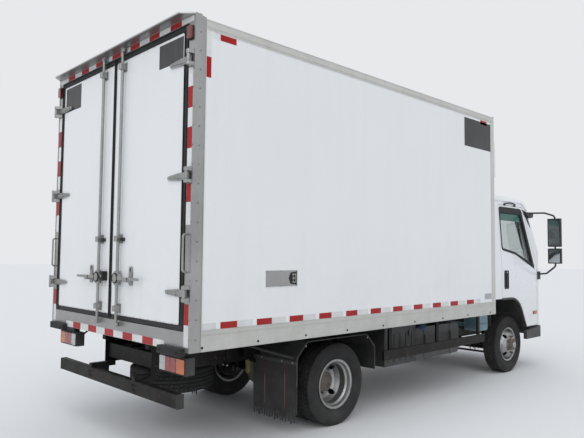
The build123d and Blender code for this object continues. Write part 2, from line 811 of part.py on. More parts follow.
def dashboard():
    desk = side_prism(
        [(6180, 1180, 60), (6140, 1330, 40), (6330, 1420, 60), (6600, 1420, 0), (6600, 1180, 0)],
        (-960, 960),
    )
    (x, ahead, z), axis = wheel_axis()
    near, far = 46, 190
    column = rod(
        (x, ahead + near * axis.Y, z - near * axis.Z),
        (x, ahead + far * axis.Y, z - far * axis.Z),
        28,
    )
    return ((desk & inner_cab) - under_cut(60)) + column


def seats():
    """Driver's seat and the passenger's, each a cushion, a back with side bolsters and a head rest."""
    places = Part()
    for low, high in ((450, 900), (-900, -450)):
        places += side_prism(
            [(5230, 1130, 0), (5720, 1130, 20), (5735, 1290, 50), (5690, 1345, 30), (5230, 1310, 50)],
            (low, high),
        )
        places += side_prism([(5120, 1325, 0), (5235, 1325, 40), (5225, 1900, 40), (5130, 1900, 40)],
                             (low + 20, high - 20))
        places += [side_prism([(5150, 1380, 0), (5275, 1420, 40), (5255, 1760, 40), (5150, 1840, 0)], x)
                   for x in ((low + 5, low + 55), (high - 55, high - 5))]
        middle = (low + high) / 2
        places += side_prism([(5140, 1940, 20), (5225, 1940, 30), (5215, 2090, 30), (5145, 2090, 30)],
                             (middle - 130, middle + 130))
        places += [rod((middle + x, 5180, 1880), (middle + x, 5180, 1960), 7) for x in (-60, 60)]
        places += block((low + 40, high - 40), (5260, 5680), (1112, 1130))
    return places


def wheel_axis():
    """Centre of the steering wheel and the direction of its column."""
    return (640, 6020, 1520), Vector(0, 310, 500).normalized()


def steering_wheel():
    """Four-spoked wheel with a deep boss, on an inclined column."""
    (x, ahead, z), axis = wheel_axis()
    plane = Plane(origin=(x, along(ahead), z), z_dir=axis, x_dir=(1, 0, 0))
    radius, grip = 200, 15
    made = plane * revolve(Plane.XZ * Pos(radius, 0) * RegularPolygon(grip, 8), Axis.Z)
    made += plane * Pos(0, 0, -25) * Cylinder(48, 40)
    made += [plane * Rot(0, 0, a) * Pos(115, 0, -12) * Box(160, 32, 12) for a in (-12, 192, 60, 120)]
    return made


def headlamps():
    return lamp_prism() & (outer_cab - skin_cab)


def mirrors():
    """Two mirror heads on each side, on an arm between a bracket on the pillar and one below the screen."""
    route = [
        (900, 6120, 2290),
        (1150, 6400, 2300),
        (1290, 6430, 2250),
        (1290, 6430, 1500),
        (1150, 6440, 1390),
        (950, 6440, 1370),
    ]
    arm = pipe(route, 50, 13)
    made = Part() + arm
    for low, high in ((1790, 2210), (1540, 1765)):
        made += plan_prism(
            [
                (1190, 6396, 14),
                (1388, 6396, 14),
                (1385, 6450, 26),
                (1340, 6478, 30),
                (1240, 6478, 30),
                (1190, 6450, 26),
            ],
            (low, high),
        )
    made += side_prism([(6060, 2305, 12), (6370, 2305, 30), (6330, 2230, 30), (6200, 2215, 20)], (900, 1002))
    made += plan_prism(
        [(900, 6385, 0), (1046, 6385, 12), (1046, 6480, 40), (980, 6530, 30), (900, 6530, 0)],
        (1300, 1418),
    )
    return both(made - outer_cab)


# Running gear


def knuckle(side):
    """Fork on its kingpin, with the brake back plate and the steering arm."""
    z = tyre_radius
    at = front_axle_at
    made = rod((kingpin_x, at, 318), (kingpin_x, at, 452), kingpin)
    for low, high in ((302, 325), (447, 470)):
        made += rod((kingpin_x, at, low), (kingpin_x, at, high), 34)
        made += block((kingpin_x, kingpin_x + 64), (at - 34, at + 34), (low, high))
    made += block((kingpin_x + 44, kingpin_x + 64), (at - 34, at + 34), (302, 470))
    made += rod((kingpin_x + 60, at, z), (kingpin_x + 76, at, z), 160)
    made += rod((kingpin_x + 76, at, z), (kingpin_x + 100, at, z), 90)
    made += block((kingpin_x - 20, kingpin_x + 20), (at - 262, at), (302, 325))
    return made if side > 0 else mirrored(made)


def tie_rod():
    at = front_axle_at - 240
    bar = rod((-kingpin_x, at, 280), (kingpin_x, at, 280), 15)
    return bar + both(rod((kingpin_x, at, 262), (kingpin_x, at, 300), 22))


half_tyre = tyre_width / 2
bead = 222
rim_half = 86
rim_edge = 235.4
wheel_offset = twin_spacing / 2
disc_plate = 9
hub_bore = 82
hand_holes = 4
hand_hole = 27
hand_circle = 166

tyre_sides = 48
tyre_outside = [
    # across the wheel, distance out to the flats
    (-half_tyre, 306),
    (14 - half_tyre, 380),
    (28 - half_tyre, tyre_radius),
    (half_tyre - 28, tyre_radius),
    (half_tyre - 14, 380),
    (half_tyre, 306),
]
tyre_inside = [
    # the same for the bore and the sides that slope to the beads
    (-half_tyre - 20, 347.5),
    (-72, bead),
    (72, bead),
    (half_tyre + 20, 347.5),
]
tyre_form = faceted(tyre_outside, tyre_sides) - faceted(tyre_inside, tyre_sides)
rim_profile = [
    # across the wheel, radius, rounding: tyre side first, then back along the inside
    (-80, rim_edge, 0),
    (-74, bead, 0),
    (-46, 217, 0),
    (-30, 200, 0),
    (30, 200, 0),
    (46, 217, 0),
    (74, bead, 0),
    (80, rim_edge, 0),
    (rim_half, rim_edge, 0),
    (80, 214, 0),
    (50, 209, 0),
    (34, 193, 0),
    (-34, 193, 0),
    (-50, 209, 0),
    (-80, 214, 0),
    (-rim_half, rim_edge, 0),
]
disc_profile = [
    # from the wheel's middle towards the face that meets the hub
    (wheel_offset, hub_bore, 0),
    (wheel_offset, 136, 12),
    (wheel_offset - 30, 178, 20),
    (56, 203, 0),
    (38, 201, 0),
    (wheel_offset - 38, 170, 20),
    (wheel_offset - disc_plate, 132, 12),
    (wheel_offset - disc_plate, hub_bore, 0),
]


def tyre(x, ahead):
    return Pos(x, along(ahead), tyre_radius) * tyre_form


def wheel_form():
    """Rim with its dished disc, about an axle across the truck, with the disc's face on the positive side."""
    barrel = turned(rim_profile, 0, rear_face, 0)
    disc = turned(disc_profile, 0, rear_face, 0)
    for turn in range(hand_holes):
        hole = Pos(wheel_offset / 2, 0, hand_circle) * Cylinder(hand_hole, wheel_offset, rotation=(0, 90, 0))
        disc -= Rot(45 + 360 / hand_holes * turn, 0, 0) * hole
    return barrel + disc


def wheel(x, ahead, out):
    """Wheel in its place; out is 1 where the disc bulges away from the truck."""
    made = wheel_form()
    if out < 0:
        made = mirrored(made)
    return Pos(x, along(ahead), tyre_radius) * made


def hub(x, ahead, steps):
    """Hub turned in steps of (start, end, radius) outwards from the face that carries the disc."""
    made = Part()
    for start, end, radius in steps:
        made += rod((x + start, ahead, tyre_radius), (x + end, ahead, tyre_radius), radius)
    return made


def front_rim(side):
    face = steer_x + wheel_offset
    made = wheel(steer_x, front_axle_at, 1)
    steps = [(-150, -60, 155), (-60, -disc_plate, 118), (-20, 34, hub_bore - 2), (34, 52, 46)]
    made += hub(face, front_axle_at, steps)
    return made if side > 0 else mirrored(made)


def rear_rims(side):
    face = twin_out - wheel_offset
    made = wheel(twin_out, rear_axle_at, -1) + wheel(twin_in, rear_axle_at, 1)
    steps = [(-222, -60, 165), (-60, -disc_plate, 118), (-20, 62, hub_bore - 2), (40, 74, 96)]
    made += hub(face, rear_axle_at, steps)
    return made if side > 0 else mirrored(made)


def rear_tyres(side):
    made = tyre(twin_out, rear_axle_at) + tyre(twin_in, rear_axle_at)
    return made if side > 0 else mirrored(made)


pieces = {
    "chassis_frame": chassis_frame(),
    "front_axle": front_axle(),
    "rear_axle": rear_axle(),
    "leaf_springs": leaf_springs(),
    "engine_block": engine_block(),
    "driveline": driveline(),
    "fuel_tank": fuel_tank(),
    "battery_box": battery_box(),
    "exhaust": exhaust(),
    "coolant_reservoir": coolant_reservoir(),
    "spare_tyre": spare_tyre(),
    "spare_rim": spare_rim(),
    "front_bumper": front_bumper(),
    "underrun_bar": underrun_bar(),
    "rear_lamps": rear_lamps(),
    "mud_flaps": mud_flaps(),
    "side_guards": side_guards(),
    "body_subframe": body_subframe(),
    "body_floor": body_floor(),
    "side_walls": side_walls(),
    "front_wall": front_wall(),
    "body_roof": body_roof(),
    "rear_frame": rear_frame(),
    "body_rails": body_rails(),
    "evaporator": evaporator(),
    "condenser": condenser(),
    "cab_shell": cab_shell(),
    "cab_front": cab_front(),
    "cab_glass": cab_glass(),
    "dashboard": dashboard(),
    "seats": seats(),
    "headlamps": headlamps(),
    "mirrors": mirrors(),
    "steering_wheel": steering_wheel(),
    "tie_rod": tie_rod(),
}
for name, side in (("left", 1), ("right", -1)):
    pieces[f"door_{name}"] = door(side)
    pieces[f"door_glass_{name}"] = door_glass(side)
    pieces[f"leaf_{name}"] = leaf(side)
    pieces[f"leaf_seal_{name}"] = leaf_seal(side)
    pieces[f"leaf_gear_{name}"] = leaf_gear(side)
    pieces[f"knuckle_{name}"] = knuckle(side)
    pieces[f"front_tyre_{name}"] = tyre(side * steer_x, front_axle_at)
    pieces[f"front_rim_{name}"] = front_rim(side)
    pieces[f"rear_tyres_{name}"] = rear_tyres(side)
    pieces[f"rear_rims_{name}"] = rear_rims(side)

os.makedirs("parts", exist_ok=True)
for name, shape in pieces.items():
    export_step(shape, f"parts/{name}.step")
    print(name, len(shape.solids()), "solids")
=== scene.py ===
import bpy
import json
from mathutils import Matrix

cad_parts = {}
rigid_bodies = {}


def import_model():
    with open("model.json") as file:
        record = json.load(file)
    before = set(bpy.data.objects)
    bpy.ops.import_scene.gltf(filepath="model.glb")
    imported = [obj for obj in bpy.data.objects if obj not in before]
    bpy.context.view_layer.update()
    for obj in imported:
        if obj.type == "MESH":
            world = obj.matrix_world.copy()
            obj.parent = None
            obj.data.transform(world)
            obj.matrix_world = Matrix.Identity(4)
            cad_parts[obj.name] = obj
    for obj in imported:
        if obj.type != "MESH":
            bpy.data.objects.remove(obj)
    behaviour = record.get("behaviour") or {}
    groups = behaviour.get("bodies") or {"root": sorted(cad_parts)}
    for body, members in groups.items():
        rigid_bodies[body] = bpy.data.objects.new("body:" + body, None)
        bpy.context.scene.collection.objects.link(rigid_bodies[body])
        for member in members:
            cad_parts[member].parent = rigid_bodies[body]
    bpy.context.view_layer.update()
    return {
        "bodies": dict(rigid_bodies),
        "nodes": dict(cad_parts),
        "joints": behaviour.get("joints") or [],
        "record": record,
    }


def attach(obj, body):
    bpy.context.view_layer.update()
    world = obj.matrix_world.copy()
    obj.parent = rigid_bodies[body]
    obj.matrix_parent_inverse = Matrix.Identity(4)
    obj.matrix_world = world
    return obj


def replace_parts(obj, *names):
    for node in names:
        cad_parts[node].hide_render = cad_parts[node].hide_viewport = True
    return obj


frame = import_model()

import json
import math

import bmesh
import bpy
import numpy as np
from mathutils import Matrix, Vector

# The truck stands on z = 0 with its cab towards -y; +x is the driver's side.
# Places along it are given in metres ahead of the rear face of the box.
rearFace = 3.33


def yAt(ahead):
    return rearFace - ahead


def at(*spots):  # (x, ahead, height) of each spot as a place in the frame
    return [(x, yAt(ahead), height) for x, ahead, height in spots]


# Shader building


def wire(tree, node, sockets):  # links a socket where the value is one, and sets it otherwise
    for name, value in sockets.items():
        if isinstance(value, bpy.types.NodeSocket):
            tree.links.new(value, node.inputs[name])
        else:
            node.inputs[name].default_value = value
    return node


def add(tree, kind, sockets=None, **settings):
    node = tree.nodes.new("ShaderNode" + kind)
    for name, value in settings.items():
        setattr(node, name, value)
    return wire(tree, node, sockets or {})


def maths(tree, operation, first, second=0.0, clamp=False):
    return add(tree, "Math", {0: first, 1: second}, operation=operation, use_clamp=clamp).outputs[0]


def times(tree, first, second, clamp=False):
    return maths(tree, "MULTIPLY", first, second, clamp)


def plus(tree, first, second, clamp=False):
    return maths(tree, "ADD", first, second, clamp)


def mixColour(tree, share, first, second, blend="MIX"):
    return add(tree, "Mix", {0: share, 6: first, 7: second}, data_type="RGBA", blend_type=blend).outputs[2]


def shaded(tree, colour, shade):
    grey = add(tree, "CombineXYZ", {0: shade, 1: shade, 2: shade}).outputs[0]
    return mixColour(tree, 1.0, colour, grey, "MULTIPLY")


def spread(tree, value, low, high, start=0.0, end=1.0):  # value taken from low..high to start..end
    sockets = {"Value": value, "From Min": low, "From Max": high, "To Min": start, "To Max": end}
    return add(tree, "MapRange", sockets).outputs[0]


def noise(tree, place, scale, detail=3.0):
    return add(tree, "TexNoise", {"Vector": place, "Scale": scale, "Detail": detail}).outputs[0]


def upward(tree, vector):
    return add(tree, "SeparateXYZ", {0: vector}).outputs[2]


def stretch(tree, place, scale):
    return add(tree, "Mapping", {"Vector": place, "Scale": scale}).outputs[0]


def wave(tree, place, axis, scale):
    return add(tree, "TexWave", {"Vector": place, "Scale": scale}, bands_direction=axis).outputs["Fac"]


def tone(*levels):  # one level for grey or three for a colour
    return (*(levels * (1 if len(levels) == 3 else 3)), 1)


def shaderGroup(name, draw, **inputs):
    # Group on Object coordinates. An input's kind follows its start value; draw gives the outputs by name.
    group = bpy.data.node_groups.new(name, "ShaderNodeTree")
    kinds = {4: "Color", 3: "Vector", 0: "Float"}
    for title, value in inputs.items():
        kind = kinds[len(value) if isinstance(value, tuple) else 0]
        title = title.replace("_", " ")
        made = group.interface.new_socket(title, in_out="INPUT", socket_type="NodeSocket" + kind)
        made.default_value = value
    given = group.nodes.new("NodeGroupInput").outputs
    place = add(group, "TexCoord").outputs["Object"]
    result = draw(group, given, place)
    for title in result:
        kind = "Color" if title == "Colour" else "Float"
        group.interface.new_socket(title, in_out="OUTPUT", socket_type="NodeSocket" + kind)
    wire(group, group.nodes.new("NodeGroupOutput"), result)
    return group


def drawRoadWear(tree, given, place):
    # Broad drift of tone, run-off streaks, dust that fades with height and settles on ledges, and fine grain
    drift = times(tree, spread(tree, noise(tree, place, given["Drift Scale"], 5), 0.36, 0.66), given["Drift"])
    tall = stretch(tree, place, (1, 1, 0.06))
    run = times(tree, spread(tree, noise(tree, tall, 11, 3), 0.52, 0.78), given["Streaks"])
    fade = {"Value": upward(tree, place), "From Min": given["Dust High"], "From Max": given["Dust Low"]}
    low = add(tree, "MapRange", fade).outputs[0]
    cloud = spread(tree, noise(tree, place, 7, 6), 0.25, 0.75, 0.25, 1.25)
    ledge = spread(tree, upward(tree, add(tree, "NewGeometry").outputs["Normal"]), 0.3, 1)
    settled = plus(tree, low, times(tree, ledge, low))
    dust = times(tree, times(tree, settled, cloud), given["Dust"], True)
    grain = noise(tree, stretch(tree, place, given["Grain Stretch"]), given["Grain Scale"], 3)
    colour = mixColour(tree, drift, given["Colour"], given["Drift Colour"])
    colour = mixColour(tree, run, colour, given["Dust Colour"])
    colour = mixColour(tree, dust, colour, given["Dust Colour"])
    shade = plus(tree, times(tree, spread(tree, grain, 0.3, 0.7, -1, 1), given["Grain"]), 1.0)
    rough = plus(tree, times(tree, plus(tree, dust, run), 0.35), times(tree, drift, 0.12))
    return {"Colour": shaded(tree, colour, shade), "Roughness": plus(tree, rough, given["Roughness"], True),
            "Height": plus(tree, grain, times(tree, dust, 1.5))}


def drawCells(tree, given, place):
    # Small six-sided cells as in reflective sheet: each has its own tone and a raised middle
    cell = add(tree, "TexVoronoi", {"Vector": place, "Scale": given["Scale"], "Randomness": 0.35}).outputs
    own = add(tree, "SeparateXYZ", {0: cell["Color"]}).outputs[0]
    shade = plus(tree, times(tree, spread(tree, own, 0, 1, -1, 1), given["Contrast"]), 1.0)
    return {"Colour": shaded(tree, given["Colour"], shade),
            "Height": maths(tree, "SUBTRACT", 1.0, cell["Distance"])}


def drawWeave(tree, given, place):
    # Crossed threads: two sine waves at right angles, each on top where a third, slower wave says so
    waves = [wave(tree, place, axis, given["Scale"]) for axis in "XYZ"]
    height = times(tree, plus(tree, waves[0], waves[1]), plus(tree, waves[2], 0.4))
    fleck = times(tree, spread(tree, noise(tree, place, 900, 2), 0.56, 0.7), 0.6)
    shade = mixColour(tree, fleck, given["Colour"], given["Fleck"])
    # Painted shade: the colour is darkened towards near black where the threads are low, between them
    return {"Colour": mixColour(tree, spread(tree, height, 0, 1.6, 0.5, 0), shade, tone(0.02)),
            "Height": height}


def drawRust(tree, given, place):
    # Rust that blooms in patches: a mask from two noises, and the colour and roughness that go with it
    patch = plus(tree, noise(tree, place, given["Scale"], 6), times(tree, given["Amount"], 0.5))
    mask = spread(tree, patch, 0.62, 0.8)
    deep = mixColour(tree, noise(tree, place, 160, 3), tone(0.12, 0.055, 0.03), tone(0.25, 0.125, 0.07))
    return {"Colour": mixColour(tree, mask, given["Colour"], deep),
            "Roughness": plus(tree, given["Roughness"], times(tree, mask, 0.45), True),
            "Metal": maths(tree, "SUBTRACT", 1.0, mask),
            "Height": times(tree, mask, noise(tree, place, 500, 4))}


def drawPrisms(tree, given, place):
    # Optics moulded in a lamp lens: ribs across and a coarser wave upright, added
    height = plus(tree, wave(tree, place, "X", given["Across"]), wave(tree, place, "Z", given["Upright"]))
    # Painted highlight and shade: the colour is lighter on the ribs' crests and darker in their troughs
    return {"Colour": shaded(tree, given["Colour"], spread(tree, height, 0, 2, 0.72, 1.1)), "Height": height}


roadWear = shaderGroup(
    "roadWear", drawRoadWear, Colour=tone(0.5), Drift_Colour=tone(0.4),
    Drift=0.3, Drift_Scale=3.0, Streaks=0.0,
    Dust_Colour=tone(0.34, 0.32, 0.29), Dust=0.0, Dust_Low=0.3, Dust_High=1.2, Roughness=0.5, Grain=0.05,
    Grain_Scale=400.0, Grain_Stretch=(1, 1, 1))
cells = shaderGroup("cells", drawCells, Colour=tone(1), Scale=300.0, Contrast=0.2)
weave = shaderGroup("weave", drawWeave, Colour=tone(0.2), Fleck=tone(0.4), Scale=180.0)
rust = shaderGroup("rust", drawRust, Colour=tone(0.3), Roughness=0.4, Amount=0.5, Scale=40.0)
prisms = shaderGroup("prisms", drawPrisms, Colour=tone(1, 0, 0), Across=60.0, Upright=25.0)


# Camera, floor and light

camera = {
    "place": (-4.8983, 5.798, 1.6332),
    "yaw": 2.3350,
    "pitch": 0.0611,
    "roll": 0.0093,
    "lens": 36.21,
}
studio = {
    "floorSize": 160.0,
    "floorColour": (0.80, 0.81, 0.82, 1),
    "backdrop": (0.80, 0.815, 0.835, 1),
    "sky": (0.93, 0.96, 1.0, 1),
    "skyStrength": 0.72,
    "sunStrength": 1.15,
    "sunAngle": 70,
    "sunFrom": (-0.55, 0.75, 1.0),
}


def show(name, data):
    made = bpy.data.objects.new(name, data)
    bpy.context.scene.collection.objects.link(made)
    return made


def placeCamera(settings):
    yaw, pitch, roll = settings["yaw"], settings["pitch"], settings["roll"]
    forward = Vector((math.sin(yaw) * math.cos(pitch), math.cos(yaw) * math.cos(pitch), math.sin(pitch)))
    across = forward.cross(Vector((0, 0, 1))).normalized()
    upright = across.cross(forward)
    right = across * math.cos(roll) + upright * math.sin(roll)
    up = upright * math.cos(roll) - across * math.sin(roll)
    lens = bpy.data.cameras.new("camera")
    lens.lens = settings["lens"]
    lens.clip_end = 400
    eye = show("camera", lens)
    turn = Matrix((right, up, -forward)).transposed().to_4x4()
    eye.matrix_world = Matrix.Translation(settings["place"]) @ turn
    bpy.context.scene.camera = eye


def lightStudio(settings):
    half = settings["floorSize"] / 2
    mesh = bpy.data.meshes.new("floor")
    mesh.from_pydata([(-half, -half, 0), (half, -half, 0), (half, half, 0), (-half, half, 0)],
                     [], [(0, 1, 2, 3)])
    paint = bpy.data.materials.new("studioFloor")
    paint.use_nodes = True
    look = {"Base Color": settings["floorColour"], "Roughness": 0.9, "Specular IOR Level": 0.1}
    wire(paint.node_tree, paint.node_tree.nodes["Principled BSDF"], look)
    mesh.materials.append(paint)
    show("floor", mesh)

    sun = show("sun", bpy.data.lights.new("sun", "SUN"))
    sun.data.energy = settings["sunStrength"]
    sun.data.angle = math.radians(settings["sunAngle"])
    sun.rotation_euler = Vector(settings["sunFrom"]).to_track_quat("Z", "Y").to_euler()

    world = bpy.data.worlds.new("studio")
    world.use_nodes = True
    bpy.context.scene.world = world
    tree = world.node_tree
    tree.nodes.clear()
    rays = add(tree, "LightPath").outputs
    clear = maths(tree, "MAXIMUM", rays["Is Glossy Ray"], rays["Is Transmission Ray"])
    seen = maths(tree, "MAXIMUM", rays["Is Camera Ray"], clear)
    lamp = add(tree, "Background", {"Color": settings["sky"], "Strength": settings["skyStrength"]}).outputs[0]
    back = add(tree, "Background", {"Color": settings["backdrop"]}).outputs[0]
    add(tree, "OutputWorld", {0: add(tree, "MixShader", {0: seen, 1: lamp, 2: back}).outputs[0]})


bpy.context.scene.view_settings.view_transform = "Standard"
placeCamera(camera)
lightStudio(studio)
print("camera, floor and light are in place")


# Materials: one for every slot of the record, given to the CAD nodes, and those of the added pieces. A look
# has its colour or a pattern group with that group's values, then drift (colour, share, scale), dust (colour,
# share, height below which it is full, height where it ends), and grain (share, scale, stretch).


def whole(value):
    return tone(*value) if isinstance(value, tuple) else tone(value)


def surface(name, drift, rough, grain, colour=None, pattern=None,
            dust=None, streaks=0.0, relief=0.0004, **shaderSockets):
    made = bpy.data.materials.new(name)
    made.use_nodes = True
    tree = made.node_tree
    shader = wire(tree, tree.nodes["Principled BSDF"],
                  {socket.replace("_", " "): value for socket, value in shaderSockets.items()})

    def place(group, sockets):
        node = add(tree, "Group")
        node.node_tree = group
        return wire(tree, node, sockets).outputs

    wear = {"Drift Colour": whole(drift[0]), "Drift": drift[1], "Drift Scale": drift[2], "Streaks": streaks,
            "Roughness": rough, "Grain": grain[0], "Grain Scale": grain[1],
            "Grain Stretch": (*grain[2:], (1, 1, 1))[0]}
    if dust:
        wear |= {"Dust Colour": whole(dust[0]), "Dust": dust[1], "Dust Low": dust[2], "Dust High": dust[3]}
    if pattern:
        titles = [item.name for item in pattern[0].interface.items_tree if item.in_out == "INPUT"]
        given = {title: whole(value) if title in ("Colour", "Fleck") else value
                 for title, value in zip(titles, pattern[1:])}
        drawn = place(pattern[0], given)
        wear |= {title: drawn[title] for title in ("Colour", "Roughness") if title in drawn}
        if "Metal" in drawn:
            tree.links.new(drawn["Metal"], shader.inputs["Metallic"])
    else:
        wear["Colour"] = whole(colour)
    worn = place(roadWear, wear)
    bump = add(tree, "Bump", {"Height": worn["Height"], "Distance": relief, "Strength": 1.0})
    if pattern:
        bump = add(tree, "Bump",
                   {"Height": drawn["Height"], "Distance": relief * 2, "Normal": bump.outputs[0]})
    wire(tree, shader,
         {"Base Color": worn["Colour"], "Roughness": worn["Roughness"], "Normal": bump.outputs[0]})
    return made


